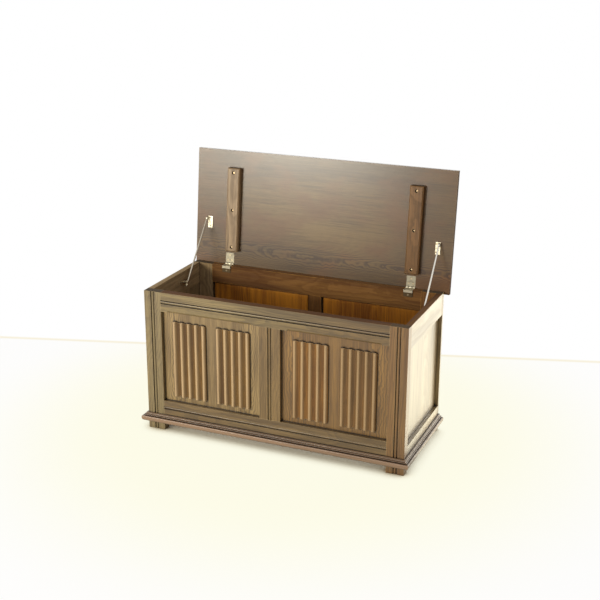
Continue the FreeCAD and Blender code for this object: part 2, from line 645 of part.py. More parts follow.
def small_screw(point, outward):
    """A countersunk screw: the head's flat face is at point, the shank runs inward."""
    body = turned((SMALL_SHANK_RADIUS, -SMALL_SCREW_LENGTH),
                  (SMALL_SHANK_RADIUS, -SMALL_HEAD_HEIGHT), (SMALL_HEAD_RADIUS, 0))
    slot = block(-SMALL_HEAD_RADIUS, SMALL_HEAD_RADIUS, -SLOT_WIDTH / 2, SLOT_WIDTH / 2,
                 -SLOT_WIDTH, PAST)
    return stand(body.cut(slot), point, outward)


def small_screw_hole(point, outward):
    """The countersink and pilot hole that a small screw fills."""
    radius = SMALL_HEAD_RADIUS + HEAD_CLEARANCE
    hole = turned((SMALL_SHANK_RADIUS, -SMALL_SCREW_LENGTH),
                  (SMALL_SHANK_RADIUS, -SMALL_HEAD_HEIGHT), (radius, 0), (radius, PAST))
    return stand(hole, point, outward)


def big_screw(point):
    """A round-head screw that points up; the underside of its head is at point."""
    head = turned((BIG_HEAD_RADIUS - BIG_HEAD_BEVEL, -BIG_HEAD_HEIGHT),
                  (BIG_HEAD_RADIUS, BIG_HEAD_BEVEL - BIG_HEAD_HEIGHT), (BIG_HEAD_RADIUS, 0))
    shank = turned((BIG_SHANK_RADIUS, 0), (BIG_SHANK_RADIUS, BIG_SCREW_LENGTH))
    slot = block(-BIG_HEAD_RADIUS, BIG_HEAD_RADIUS, -SLOT_WIDTH / 2, SLOT_WIDTH / 2,
                 -BIG_HEAD_HEIGHT - PAST, -BIG_HEAD_HEIGHT + SLOT_WIDTH)
    return stand(solid_of(head.fuse(shank).cut(slot)), point, vec(0, 0, 1))


# ---- hinges ----------------------------------------------------------------------------
def knuckle_spans(mid_x):
    """The hinge's width in fifths: 0, 2 and 4 turn with the rail, 1 and 3 with the lid."""
    fifth = HINGE_WIDTH / 5
    start = mid_x - HINGE_WIDTH / 2
    gap = HINGE_PIN_CLEARANCE
    return [(start + i * fifth + gap, start + (i + 1) * fifth - gap) for i in range(5)]


def knuckles(mid_x, picks, bore):
    spans = knuckle_spans(mid_x)
    parts = [bar_x(KNUCKLE_RADIUS, spans[i][0], spans[i][1], AXIS_Y, AXIS_Z) for i in picks]
    return parts, bar_x(bore, spans[0][0] - PAST, spans[4][1] + PAST, AXIS_Y, AXIS_Z)


def knuckle_room(mid_x, picks):
    """Cuts a leaf back from the knuckles of the other leaf."""
    spans = knuckle_spans(mid_x)
    gap = HINGE_PIN_CLEARANCE
    reach = KNUCKLE_RADIUS + KNUCKLE_CLEARANCE
    return [block(spans[i][0] - 2 * gap, spans[i][1] + 2 * gap, AXIS_Y - reach,
                  AXIS_Y + reach, AXIS_Z - reach, AXIS_Z + reach) for i in picks]


def rail_leaf(mid_x):
    """The leaf let into the top of the back rail, turned down over its inner edge."""
    half = HINGE_WIDTH / 2
    front = BACK_INNER_Y - LEAF_THICKNESS
    plate = block(mid_x - half, mid_x + half, front, AXIS_Y,
                  RIM_HEIGHT - LEAF_THICKNESS, RIM_HEIGHT)
    apron = block(mid_x - half, mid_x + half, front, BACK_INNER_Y,
                  RIM_HEIGHT - LEAF_TURN_DOWN, RIM_HEIGHT)
    lip = block(mid_x - half, mid_x + half, front - LEAF_LIP_THICKNESS, front,
                RIM_HEIGHT - LEAF_LIP_HEIGHT, RIM_HEIGHT)
    rolls, bore = knuckles(mid_x, (0, 2, 4), HINGE_PIN_RADIUS)
    leaf = plate.cut(knuckle_room(mid_x, (1, 3))).fuse([apron, lip] + rolls)
    holes = [small_screw_hole(p, d) for p, d in rail_leaf_screws(mid_x)]
    return leaf.cut([bore] + holes)


def rail_leaf_recess(mid_x):
    half = HINGE_WIDTH / 2
    return block(mid_x - half, mid_x + half, BACK_INNER_Y, BODY_DEPTH,
                 RIM_HEIGHT - LEAF_THICKNESS, RIM_HEIGHT)


def rail_leaf_screws(mid_x):
    """Head centre and outward direction of each screw of a rail leaf."""
    y = BACK_INNER_Y + BACK_THICKNESS / 2
    spread = HINGE_WIDTH / 4
    front = BACK_INNER_Y - LEAF_THICKNESS
    return [(vec(mid_x - spread, y, RIM_HEIGHT), vec(0, 0, 1)),
            (vec(mid_x + spread, y, RIM_HEIGHT), vec(0, 0, 1)),
            (vec(mid_x, front, RIM_HEIGHT - APRON_SCREW_DROP), vec(0, -1, 0))]


def lid_leaf(mid_x):
    """The leaf let into the underside of the lid, drawn with the lid closed."""
    half = HINGE_WIDTH / 2
    z0 = LID_UNDERSIDE_Z
    plate = block(mid_x - half, mid_x + half, AXIS_Y - LID_LEAF_LENGTH, AXIS_Y,
                  z0, z0 + LEAF_THICKNESS)
    corners = [e for e in plate.Edges
               if abs(e.CenterOfMass.y - (AXIS_Y - LID_LEAF_LENGTH)) < TINY
               and abs(e.Vertexes[0].Point.x - e.Vertexes[-1].Point.x) < TINY]
    plate = plate.makeFillet(LEAF_CORNER_RADIUS, corners)
    rolls, bore = knuckles(mid_x, (1, 3), HINGE_PIN_RADIUS + HINGE_PIN_CLEARANCE)
    leaf = plate.cut(knuckle_room(mid_x, (0, 2, 4))).fuse(rolls)
    holes = [small_screw_hole(p, d) for p, d in lid_leaf_screws(mid_x)]
    return leaf.cut([bore] + holes)


def lid_leaf_screws(mid_x):
    spread = HINGE_WIDTH / 4
    low_y = AXIS_Y - LOW_SCREWS_FROM_AXIS
    high_y = AXIS_Y - HIGH_SCREW_FROM_AXIS
    down = vec(0, 0, -1)
    return [(vec(mid_x - spread, low_y, LID_UNDERSIDE_Z), down),
            (vec(mid_x + spread, low_y, LID_UNDERSIDE_Z), down),
            (vec(mid_x, high_y, LID_UNDERSIDE_Z), down)]


def hinge_pin(mid_x):
    half = HINGE_WIDTH / 2
    return bar_x(HINGE_PIN_RADIUS, mid_x - half, mid_x + half, AXIS_Y, AXIS_Z)


# ---- lid -------------------------------------------------------------------------------
def lid_bounds():
    half = HALF_WIDTH + LID_SIDE_OVERHANG
    return LID_SHIFT - half, LID_SHIFT + half, -LID_FRONT_OVERHANG, BODY_DEPTH + LID_REAR_OVERHANG


def lid_board():
    """One board with rounded top edges, recessed for the hinge leaves and knuckles."""
    x0, x1, y0, y1 = lid_bounds()
    top = LID_UNDERSIDE_Z + LID_THICKNESS
    board = block(x0, x1, y0, y1, LID_UNDERSIDE_Z, top)
    rim = [e for e in board.Edges if e.CenterOfMass.z > top - TINY]
    board = board.makeFillet(LID_EDGE_RADIUS, rim)
    cutters = []
    for x in HINGE_XS.values():
        half = HINGE_WIDTH / 2
        cutters.append(block(x - half, x + half, AXIS_Y - LID_LEAF_LENGTH, AXIS_Y,
                             LID_UNDERSIDE_Z, LID_UNDERSIDE_Z + LEAF_THICKNESS))
        cutters.append(bar_x(KNUCKLE_RADIUS + KNUCKLE_CLEARANCE, x - half, x + half,
                             AXIS_Y, AXIS_Z))
        cutters += [small_screw_hole(p, d) for p, d in lid_leaf_screws(x)]
    cutters += [pilot_hole(p) for p in batten_screw_places()]
    for side in SIDES:
        cutters += [small_screw_hole(p, d) for p, d in bracket_screws(side)]
    return board.cut(cutters)


def batten(mid_x):
    """A bevelled batten across the grain, with three pockets for its screws."""
    y1 = AXIS_Y - BATTEN_FROM_AXIS
    y0 = y1 - BATTEN_LENGTH
    half = BATTEN_WIDTH / 2
    z0 = LID_UNDERSIDE_Z - BATTEN_THICKNESS
    body = block(mid_x - half, mid_x + half, y0, y1, z0, LID_UNDERSIDE_Z)
    lower = [e for e in body.Edges if e.CenterOfMass.z < z0 + TINY]
    body = body.makeChamfer(BATTEN_BEVEL, lower)
    cutters = []
    for y in batten_screw_ys():
        cutters.append(Part.makeCylinder(POCKET_RADIUS, POCKET_DEPTH, vec(mid_x, y, z0)))
        cutters.append(pilot_hole(vec(mid_x, y, z0 + POCKET_DEPTH)))
    return body.cut(cutters)


def batten_screw_ys():
    first = AXIS_Y - BATTEN_FROM_AXIS - BATTEN_SCREW_INSET
    step = (BATTEN_LENGTH - 2 * BATTEN_SCREW_INSET) / 2
    return [first - i * step for i in range(3)]


def batten_screw_places():
    z = LID_UNDERSIDE_Z - BATTEN_THICKNESS + POCKET_DEPTH
    return [vec(x, y, z) for x in BATTEN_XS.values() for y in batten_screw_ys()]


def pilot_hole(point):
    hole = turned((BIG_SHANK_RADIUS, 0), (BIG_SHANK_RADIUS, BIG_SCREW_LENGTH))
    return stand(hole, point, vec(0, 0, 1))


# ---- lid stays -------------------------------------------------------------------------
def opened(shape):
    """Swing a shape from the closed lid's place to the open lid's place."""
    swung = shape.copy()
    swung.rotate(vec(0, AXIS_Y, AXIS_Z), vec(1, 0, 0), -LID_OPEN_ANGLE)
    return swung


def open_eye():
    """Centre of the rod's eye when the lid is open, on the middle plane."""
    turn = FreeCAD.Rotation(vec(1, 0, 0), -LID_OPEN_ANGLE)
    axis = vec(0, AXIS_Y, AXIS_Z)
    return axis + turn.multVec(vec(0, EYE_Y, EYE_Z) - axis)


def rod_line(side):
    """The rod's eye, the guide's centre and the direction between them."""
    eye = open_eye() + vec(STAY_XS[side], 0, 0)
    guide = vec(STAY_XS[side], GUIDE_Y, GUIDE_Z)
    along = (guide - eye).normalize()
    return eye, guide, along


def stay_rod(side):
    """A steel rod with a flat eye at the lid and a plain tail past the guide."""
    eye, guide, along = rod_line(side)
    length = (guide - eye).Length + GUIDE_RADIUS + COLLAR_GAP + COLLAR_LENGTH + ROD_TAIL
    rod = Part.makeCylinder(STAY_ROD_RADIUS, length, eye, along)
    half = EYE_THICKNESS / 2
    neck = EYE_RADIUS + EYE_NECK
    flat = bar_x(EYE_RADIUS, eye.x - half, eye.x + half, eye.y, eye.z)
    round_eye = bar_x(neck, eye.x - EYE_RADIUS, eye.x + EYE_RADIUS, eye.y, eye.z)
    thin = bar_x(neck, eye.x - half, eye.x + half, eye.y, eye.z)
    hole = bar_x(EYE_PIN_RADIUS + EYE_PIN_CLEARANCE, eye.x - EYE_RADIUS, eye.x + EYE_RADIUS,
                 eye.y, eye.z)
    return rod.cut(round_eye.cut(thin)).fuse(flat).cut(hole)


def stay_collar(side):
    """The stop that meets the guide when the lid is fully open."""
    eye, guide, along = rod_line(side)
    start = guide + along * (GUIDE_RADIUS + COLLAR_GAP)
    collar = Part.makeCylinder(COLLAR_RADIUS, COLLAR_LENGTH, start, along)
    return collar.cut(Part.makeCylinder(STAY_ROD_RADIUS, COLLAR_LENGTH, start, along))


def stay_guide(side):
    """A swivelling eye: a drum with a cross bore, on a shank that turns in the plate."""
    sign = SIDES[side]
    eye, guide, along = rod_line(side)
    drum = bar_x(GUIDE_RADIUS, guide.x - GUIDE_HALF_WIDTH, guide.x + GUIDE_HALF_WIDTH,
                 guide.y, guide.z)
    shank = bar_x(GUIDE_SHANK_RADIUS, guide.x + sign * (GUIDE_HALF_WIDTH - PAST),
                  sign * (SIDE_INNER_X - GUIDE_SHANK_END_GAP), guide.y, guide.z)
    reach = GUIDE_RADIUS + PAST
    bore = Part.makeCylinder(STAY_ROD_RADIUS + STAY_ROD_CLEARANCE, 2 * reach,
                             guide - along * reach, along)
    return drum.fuse(shank).cut(bore)


def stay_plate(side):
    """The plate on the inside of the side rail, with a boss for the guide's shank."""
    sign = SIDES[side]
    face = SIDE_INNER_X
    half_length, half_height = STAY_PLATE_LENGTH / 2, STAY_PLATE_HEIGHT / 2
    plate = side_block(sign, face - STAY_PLATE_THICKNESS, face,
                       GUIDE_Y - half_length, GUIDE_Y + half_length,
                       GUIDE_Z - half_height, GUIDE_Z + half_height)
    ends = [e for e in plate.Edges if abs(e.Vertexes[0].Point.x - e.Vertexes[-1].Point.x) > TINY]
    plate = plate.makeFillet(STAY_PLATE_CORNER_RADIUS, ends)
    top = abs(STAY_XS[side]) + GUIDE_HALF_WIDTH + GUIDE_FACE_GAP
    boss = bar_x(GUIDE_BOSS_RADIUS, sign * top, sign * face, GUIDE_Y, GUIDE_Z)
    bore = bar_x(GUIDE_SHANK_RADIUS + GUIDE_SHANK_CLEARANCE, sign * (top - PAST),
                 sign * (face + PAST), GUIDE_Y, GUIDE_Z)
    holes = [small_screw_hole(p, d) for p, d in stay_plate_screws(sign)]
    return plate.fuse(boss).cut([bore] + holes)


def stay_plate_screws(sign):
    x = sign * (SIDE_INNER_X - STAY_PLATE_THICKNESS)
    half = STAY_PLATE_SCREW_SPACING / 2
    return [(vec(x, GUIDE_Y + s * half, GUIDE_Z), vec(-sign, 0, 0)) for s in (1, -1)]


def ear_span(side):
    """Where the bracket's ear stands, as distances from the middle of the chest."""
    outer = abs(STAY_XS[side]) - EYE_THICKNESS / 2 - EYE_CLEARANCE
    return outer - EAR_THICKNESS, outer


def lid_bracket(side):
    """A folded bracket under the closed lid: a screwed plate and an ear for the eye."""
    sign = SIDES[side]
    ear_inner, ear_outer = ear_span(side)
    mid_y = EYE_Y + BRACKET_OFFSET
    edge = ear_outer + BRACKET_LIPS[side]
    plate = side_block(sign, edge - BRACKET_WIDTH, edge,
                       mid_y - BRACKET_LENGTH / 2, mid_y + BRACKET_LENGTH / 2,
                       LID_UNDERSIDE_Z - BRACKET_THICKNESS, LID_UNDERSIDE_Z)
    ear = side_block(sign, ear_inner, ear_outer, EYE_Y - EAR_WIDTH / 2, EYE_Y + EAR_WIDTH / 2,
                     EYE_Z, LID_UNDERSIDE_Z)
    tip = bar_x(EAR_WIDTH / 2, sign * ear_inner, sign * ear_outer, EYE_Y, EYE_Z)
    hole = bar_x(EYE_PIN_RADIUS, sign * (ear_inner - PAST), sign * (ear_outer + PAST),
                 EYE_Y, EYE_Z)
    holes = [small_screw_hole(p, d) for p, d in bracket_screws(side)]
    return solid_of(plate.fuse([ear, tip])).cut([hole] + holes)


def bracket_screws(side):
    ear_inner = ear_span(side)[0]
    x = SIDES[side] * (ear_inner - (BRACKET_WIDTH - EAR_THICKNESS) / 2)
    half = BRACKET_SCREW_SPACING / 2
    z = LID_UNDERSIDE_Z - BRACKET_THICKNESS
    return [(vec(x, EYE_Y + BRACKET_OFFSET + s * half, z), vec(0, 0, -1)) for s in (1, -1)]


def eye_pin(side):
    """A headed pin, fixed in the ear, that the rod's eye turns on."""
    sign = SIDES[side]
    inner = ear_span(side)[0]
    outer = abs(STAY_XS[side]) + EYE_THICKNESS / 2 + EYE_CLEARANCE
    shaft = bar_x(EYE_PIN_RADIUS, sign * inner, sign * outer, EYE_Y, EYE_Z)
    head = bar_x(EYE_PIN_HEAD_RADIUS, sign * outer, sign * (outer + EYE_PIN_HEAD_HEIGHT),
                 EYE_Y, EYE_Z)
    return solid_of(shaft.fuse(head))


# ---- the whole chest -------------------------------------------------------------------
def frame_nodes():
    nodes = {
        "front_top_rail": front_top_rail(),
        "front_bottom_rail": front_bottom_rail(),
        "front_muntin": front_muntin(),
        "back_bottom_rail": long_rail(BACK, FOOT_HEIGHT, FRONT_SILL_HEIGHT, False),
        "back_muntin": muntin(BACK),
        "bottom_board": bottom_board(),
        "front_bearer": bearer(FRAME_THICKNESS),
        "back_bearer": bearer(BACK_INNER_Y - BEARER_SIZE),
    }
    top = long_rail(BACK, RAIL_BOTTOM_Z, RIM_HEIGHT, True)
    for x in HINGE_XS.values():
        top = top.cut([rail_leaf_recess(x)] +
                      [small_screw_hole(p, d) for p, d in rail_leaf_screws(x)])
    nodes["back_top_rail"] = top
    for i, side in enumerate(SIDES):
        nodes[f"front_{side}_panel"] = long_panel(openings(FRONT)[i], FRONT["panel_y"])
        nodes[f"back_{side}_panel"] = back_panel(openings(BACK)[i])
    return nodes


def side_nodes():
    nodes = {}
    for side, sign in SIDES.items():
        nodes[f"front_{side}_post"] = front_post(sign)
        nodes[f"rear_{side}_post"] = rear_post(sign)
        holes = [small_screw_hole(p, d) for p, d in stay_plate_screws(sign)]
        rail = side_rail(sign, SIDE_RAIL_BOTTOM_Z, RIM_HEIGHT, True)
        nodes[f"{side}_top_rail"] = rail.cut(holes)
        nodes[f"{side}_bottom_rail"] = side_rail(sign, FOOT_HEIGHT, SIDE_SILL_HEIGHT, False)
        nodes[f"{side}_panel"] = side_panel(sign)
        nodes[f"plinth_{side}"] = plinth_side(sign)
    return nodes


def ornament_nodes():
    names = ("linenfold_left_outer", "linenfold_left_inner",
             "linenfold_right_inner", "linenfold_right_outer")
    nodes = {name: linenfold_tablet(x) for name, x in zip(names, tablet_places())}
    nodes["plinth_front"] = plinth_front()
    return nodes


def lid_nodes():
    nodes = {"lid_board": opened(lid_board())}
    for side, x in BATTEN_XS.items():
        nodes[f"{side}_batten"] = opened(batten(x))
    screws = [opened(big_screw(p)) for p in batten_screw_places()]
    nodes["batten_screws"] = Part.makeCompound(screws)
    return nodes


def hinge_nodes():
    nodes = {}
    rail_screws, lid_screws = [], []
    for side, x in HINGE_XS.items():
        nodes[f"{side}_hinge_rail_leaf"] = rail_leaf(x)
        nodes[f"{side}_hinge_lid_leaf"] = opened(lid_leaf(x))
        nodes[f"{side}_hinge_pin"] = hinge_pin(x)
        rail_screws += [small_screw(p, d) for p, d in rail_leaf_screws(x)]
        lid_screws += [opened(small_screw(p, d)) for p, d in lid_leaf_screws(x)]
    nodes["rail_leaf_screws"] = Part.makeCompound(rail_screws)
    nodes["lid_leaf_screws"] = Part.makeCompound(lid_screws)
    return nodes


def stay_nodes():
    nodes = {}
    plate_screws, lid_screws = [], []
    for side, sign in SIDES.items():
        nodes[f"{side}_stay_rod"] = stay_rod(side)
        nodes[f"{side}_stay_collar"] = stay_collar(side)
        nodes[f"{side}_stay_guide"] = stay_guide(side)
        nodes[f"{side}_stay_plate"] = stay_plate(side)
        nodes[f"{side}_lid_bracket"] = opened(lid_bracket(side))
        nodes[f"{side}_eye_pin"] = opened(eye_pin(side))
        plate_screws += [small_screw(p, d) for p, d in stay_plate_screws(sign)]
        lid_screws += [opened(small_screw(p, d)) for p, d in bracket_screws(side)]
    nodes["stay_plate_screws"] = Part.makeCompound(plate_screws)
    nodes["lid_bracket_screws"] = Part.makeCompound(lid_screws)
    return nodes


def main():
    nodes = {}
    for group in (frame_nodes, side_nodes, ornament_nodes, lid_nodes, hinge_nodes, stay_nodes):
        nodes.update(group())
    outer = Part.makeCompound(list(nodes.values())).optimalBoundingBox(False, False)
    middle_y = (outer.YMin + outer.YMax) / 2
    os.makedirs("parts", exist_ok=True)
    for name, shape in nodes.items():
        placed = shape.copy()
        placed.translate(vec(0, -middle_y, 0))
        placed.exportStep(f"parts/{name}.step")
    size = [round(v, 2) for v in (outer.XLength, outer.YLength, outer.ZLength)]
    eye = open_eye()
    print(len(nodes), "nodes, outer box", size, "front face at y", round(-middle_y, 4))
    print("hinge axis y z", round(AXIS_Y - middle_y, 4), round(AXIS_Z, 4))
    print("guide y z", round(GUIDE_Y - middle_y, 4), round(GUIDE_Z, 4))
    print("open eye y z", round(eye.y - middle_y, 4), round(eye.z, 4), "stay x", STAY_XS)


main()
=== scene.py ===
# %% [markdown]
# # A coffer chest in dark oak
#
# The chest is a joined frame of oak with panels, four carved linenfold tablets on its
# front, a plinth moulding, and a lid that stands open on two hinges and two sliding stays.
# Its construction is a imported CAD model, which this lesson loads and never changes. What
# the lesson adds is the finish: how the oak is cut, stained, waxed and worn, how the brass
# and the steel look, and the light that they are seen in.

# %% Load the model
import json
import math
import random

import bpy
from mathutils import Matrix, Vector


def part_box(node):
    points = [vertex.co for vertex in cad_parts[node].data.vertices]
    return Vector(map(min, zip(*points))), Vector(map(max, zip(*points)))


MM = 0.001
X, Y, Z = 0, 1, 2

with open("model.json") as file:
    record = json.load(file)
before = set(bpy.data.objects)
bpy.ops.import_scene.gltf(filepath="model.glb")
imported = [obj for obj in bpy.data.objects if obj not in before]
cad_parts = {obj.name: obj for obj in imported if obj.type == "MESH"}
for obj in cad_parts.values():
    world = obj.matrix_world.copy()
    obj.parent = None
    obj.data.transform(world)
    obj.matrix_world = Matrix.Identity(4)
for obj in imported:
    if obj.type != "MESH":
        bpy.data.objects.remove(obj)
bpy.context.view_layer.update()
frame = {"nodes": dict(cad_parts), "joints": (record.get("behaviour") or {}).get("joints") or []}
nodes = frame["nodes"]

# %% [markdown]
# ## The camera
#
# A long lens from a standing person's height gives furniture its usual look: upright
# edges stay nearly parallel. The camera is placed by its distance and its two angles
# round a point on the chest, which are easier to judge than three coordinates.

# %% Camera
FRONT_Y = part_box("front_left_post")[0].y
AIM = Vector((0.1313, FRONT_Y - 0.0492, 0.605))     # the point that the camera turns round
AZIMUTH = 22.77           # degrees, to the right of straight in front
ELEVATION = 18.92         # degrees above level
ROLL = 0.27               # degrees
DISTANCE = 3.831          # metres
LENS = 68.65              # millimetres, on a sensor that is SENSOR wide
SENSOR = 36
SIGHT = 60                # how far the camera sees, in metres


def turned_camera(target, azimuth, elevation, roll, distance):
    """A camera that looks at target. Azimuth 0 looks along +Y; angles are in degrees."""
    a, e, r = (math.radians(angle) for angle in (azimuth, elevation, roll))
    back = Vector((math.sin(a) * math.cos(e), -math.cos(a) * math.cos(e), math.sin(e)))
    level = Vector((0, 0, 1)).cross(back).normalized()
    upright = back.cross(level)
    right = math.cos(r) * level + math.sin(r) * upright
    data = bpy.data.cameras.new("camera")
    data.lens = LENS
    data.sensor_width = SENSOR
    data.clip_end = SIGHT
    camera = bpy.data.objects.new("camera", data)
    turn = Matrix((right, back.cross(right), back)).transposed().to_4x4()
    camera.matrix_world = Matrix.Translation(target + back * distance) @ turn
    bpy.context.scene.collection.objects.link(camera)
    return camera


camera = turned_camera(AIM, AZIMUTH, ELEVATION, ROLL, DISTANCE)
bpy.context.scene.camera = camera
print("camera at", [round(v, 3) for v in camera.matrix_world.translation])

# %% [markdown]
# ## Writing materials as sums
#
# A material is a network of small nodes. Wiring them one by one hides the idea, so a
# `Wire` wraps one socket and lets Python's own operators add the Math nodes: `1 - mask`
# or `a * 0.5 + b` reads as it is meant. Every other node comes from `Sheet.add`, which
# sets the node's settings first and then feeds its sockets with numbers or other wires.

# %% Wires
class Wire:
    """An output socket that takes part in sums."""

    def __init__(self, sheet, socket):
        self.sheet = sheet
        self.socket = socket

    def math(self, operation, *values):
        return self.sheet.add("ShaderNodeMath", {"operation": operation},
                              dict(enumerate(values)))

    def __add__(self, other):
        return self.math("ADD", self, other)

    def __radd__(self, other):
        return self.math("ADD", other, self)

    def __sub__(self, other):
        return self.math("SUBTRACT", self, other)

    def __rsub__(self, other):
        return self.math("SUBTRACT", other, self)

    def __mul__(self, other):
        return self.math("MULTIPLY", self, other)

    def __rmul__(self, other):
        return self.math("MULTIPLY", other, self)

    def __truediv__(self, other):
        return self.math("DIVIDE", self, other)

    def __pow__(self, other):
        return self.math("POWER", self, other)

    def __abs__(self):
        return self.math("ABSOLUTE", self)

    def highest(self, other):
        return self.math("MAXIMUM", self, other)

    def fraction(self):
        return self.math("FRACT", self)

    def ramp(self, start, end, low=0.0, high=1.0):
        """A smooth step: low up to start, high from end on."""
        return self.sheet.add("ShaderNodeMapRange", {"interpolation_type": "SMOOTHSTEP"},
                              {"Value": self, "From Min": start, "From Max": end,
                               "To Min": low, "To Max": high})


print("wires add, subtract, multiply, divide and ramp")


# %% Sheets and finishes
def colour(value):
    """A colour as a wire, or as three numbers with the alpha that sockets want."""
    return value if isinstance(value, Wire) else (*value, 1.0)


class Sheet:
    """A node tree, with one way to add a node to it."""

    def __init__(self, tree):
        self.tree = tree

    def add(self, kind, settings=None, inputs=None, out=0):
        """Adds a node, sets it, feeds it, and returns one of its outputs."""
        node = self.tree.nodes.new(kind)
        for name, value in (settings or {}).items():
            setattr(node, name, value)
        for key, value in (inputs or {}).items():
            self.feed(node.inputs[key], value)
        return Wire(self, node.outputs[out])

    def feed(self, socket, value):
        if isinstance(value, Wire):
            self.tree.links.new(value.socket, socket)
        else:
            socket.default_value = value

    def mix(self, factor, first, second):
        """Mixes two colours. The Mix node takes them at 6 and 7 and gives one at 2."""
        return self.add("ShaderNodeMix", {"data_type": "RGBA"},
                        {0: factor, 6: colour(first), 7: colour(second)}, out=2)

    def vector(self, operation, first, second, out=0):
        return self.add("ShaderNodeVectorMath", {"operation": operation},
                        {0: first, 1: second}, out=out)

    def join(self, x, y, z):
        return self.add("ShaderNodeCombineXYZ", None, {0: x, 1: y, 2: z})

    def split(self, vector):
        return [self.add("ShaderNodeSeparateXYZ", None, {0: vector}, out=i) for i in range(3)]

    def noise(self, place, detail=2.0, roughness=0.5):
        """Smooth noise between 0 and 1, one feature to a unit of place."""
        return self.add("ShaderNodeTexNoise", None,
                        {"Vector": place, "Scale": 1.0, "Detail": detail,
                         "Roughness": roughness})


class Finish(Sheet):
    """A material whose Principled shader is fed by the sheet."""

    def __init__(self, name):
        self.material = bpy.data.materials.new(name)
        self.material.use_nodes = True
        super().__init__(self.material.node_tree)
        self.shader = self.tree.nodes["Principled BSDF"]

    def set(self, values):
        """Feeds the shader's sockets, by their names."""
        for name, value in values.items():
            self.feed(self.shader.inputs[name], value)

    def cover(self, *names):
        """Gives the material to the named pieces."""
        for name in names:
            mesh = nodes[name].data
            mesh.materials.clear()
            mesh.materials.append(self.material)


print("sheets mix, join, split and make noise")

# %% [markdown]
# ## Coordinates that follow the board
#
# A board's grain runs along its length, so each piece needs coordinates of its own:
# along the grain, across it, and down from the wide face. They could be unwrapped by hand
# and kept as a UV map, but a board is straight, so its place in space says the same and
# also reaches the inside of a carving. The lid's pieces were sawn while the lid was flat,
# so their coordinates are first turned back by the angle at which the lid stands open.
# Everything is measured from the piece's own middle.

# %% Board coordinates
hinge = next(joint for joint in frame["joints"] if joint["name"] == "lid_hinge")
HINGE_AXIS = Vector(hinge["pos_m"])
OPEN_ANGLE = math.radians(hinge["range_deg"][1])


def closed_place(point):
    """Where a point of the open lid lies when the lid is closed."""
    return HINGE_AXIS + Matrix.Rotation(OPEN_ANGLE, 3, "X") @ (point - HINGE_AXIS)


def middle_of(node, on_lid):
    """Middle of a piece's box, in the closed lid's place if it is on the lid."""
    points = [v.co for v in nodes[node].data.vertices]
    if on_lid:
        points = [closed_place(p) for p in points]
    return [(min(p[i] for p in points) + max(p[i] for p in points)) / 2 for i in range(3)]


def board_axes(finish, node, grain, wide, on_lid):
    """Distances along the grain, across it and through the board, from its middle."""
    place = finish.add("ShaderNodeTexCoord", out="Object")
    if on_lid:
        place = finish.add("ShaderNodeVectorRotate", {"rotation_type": "X_AXIS"},
                           {"Vector": place, "Center": HINGE_AXIS, "Angle": OPEN_ANGLE})
    axes = finish.split(place)
    middle = middle_of(node, on_lid)
    return [axes[i] - middle[i] for i in (grain, 3 - grain - wide, wide)]


def board_normal(finish, on_lid):
    """Where a face looks, turned back to the closed lid if it is on the lid."""
    normal = finish.add("ShaderNodeTexCoord", out="Normal")
    if on_lid:
        normal = finish.add("ShaderNodeVectorRotate", {"rotation_type": "X_AXIS"},
                            {"Vector": normal, "Angle": OPEN_ANGLE})
    return finish.split(normal)


print("open angle", round(math.degrees(OPEN_ANGLE), 1), "hinge", HINGE_AXIS[:])

# %% [markdown]
# ## Oak, from the log outwards
#
# Oak's figure is not a picture laid on a board. It is the pattern that a flat saw cut
# makes through the yearly rings of a log, so the material works out where in the log
# each point was: its distance from the log's heart, in rings. Boards cut far out and
# square to the rings show straight stripes, and boards cut flat show tall arches. Slow
# noise makes the trunk wander, as a real one does, and a quick flutter gives the rings
# their small waves.
#
# A cut says how a board was sawn. Its heart and drift place the log's heart behind the
# board and beside it, and spread lets pieces of one kind differ in that. All are in metres.

# %% Yearly rings
chance = random.Random(12)

# Noises along a board: waves to a metre along the grain, the same across it, and detail.
SLOW_BENDS = (3.2, 9, 1.5)
QUICK_BENDS = (14, 26, 2.0)
FLUTTER = (62, 34, 1.0)
SLOW_REACH = 0.030        # how far the slow and the quick bends move the rings, in metres
QUICK_REACH = 0.007
SIDE_WANDER = 0.6         # how much of the bending also moves the rings sideways
MAX_LEAN = 0.05           # slope between a board and its log
FAR = 40                  # boards take their noise from places up to this far apart

FRAME_CUT = {"heart": 0.12, "drift": 0.0, "spread": 0.05, "ring_width": 0.0042,
             "flutter": 0.0015, "streaks": 1.2, "clouds": 0.8}


def stretched(finish, board, shift, length, width, detail):
    """Noise that is drawn out along the grain of a board."""
    along, across, depth = board
    place = finish.join(along * length + shift, across * width, depth * width)
    return finish.noise(place, detail)


def log_rings(finish, board, cut):
    """Distance from the heart of the log, in rings."""
    along, across, depth = board
    shift = chance.uniform(0, FAR)
    slow = stretched(finish, board, shift, *SLOW_BENDS) - 0.5
    quick = stretched(finish, board, shift, *QUICK_BENDS) - 0.5
    flutter = stretched(finish, board, shift, *FLUTTER) - 0.5
    wander = slow * SLOW_REACH + quick * QUICK_REACH + flutter * cut["flutter"]
    lean = chance.uniform(-MAX_LEAN, MAX_LEAN)
    sideways = across + cut["drift"] + wander * SIDE_WANDER
    inwards = depth + along * lean + wander + cut["heart"]
    return (sideways * sideways + inwards * inwards) ** 0.5 / cut["ring_width"]


print("a ring of the frame is", FRAME_CUT["ring_width"] / MM, "mm wide")

# %% [markdown]
# ## Pores, fibres and streaks
#
# Each ring starts with open pores, which take most of the stain, and ends in hard pale
# wood. Fine fibres and long streaks run over the rings, all stretched along the grain, and
# broad clouds make one part of a board darker than another. Colour, gloss and relief could
# each have a noise of their own, but then they wouldn't agree, so they share the three
# masks that are made here.

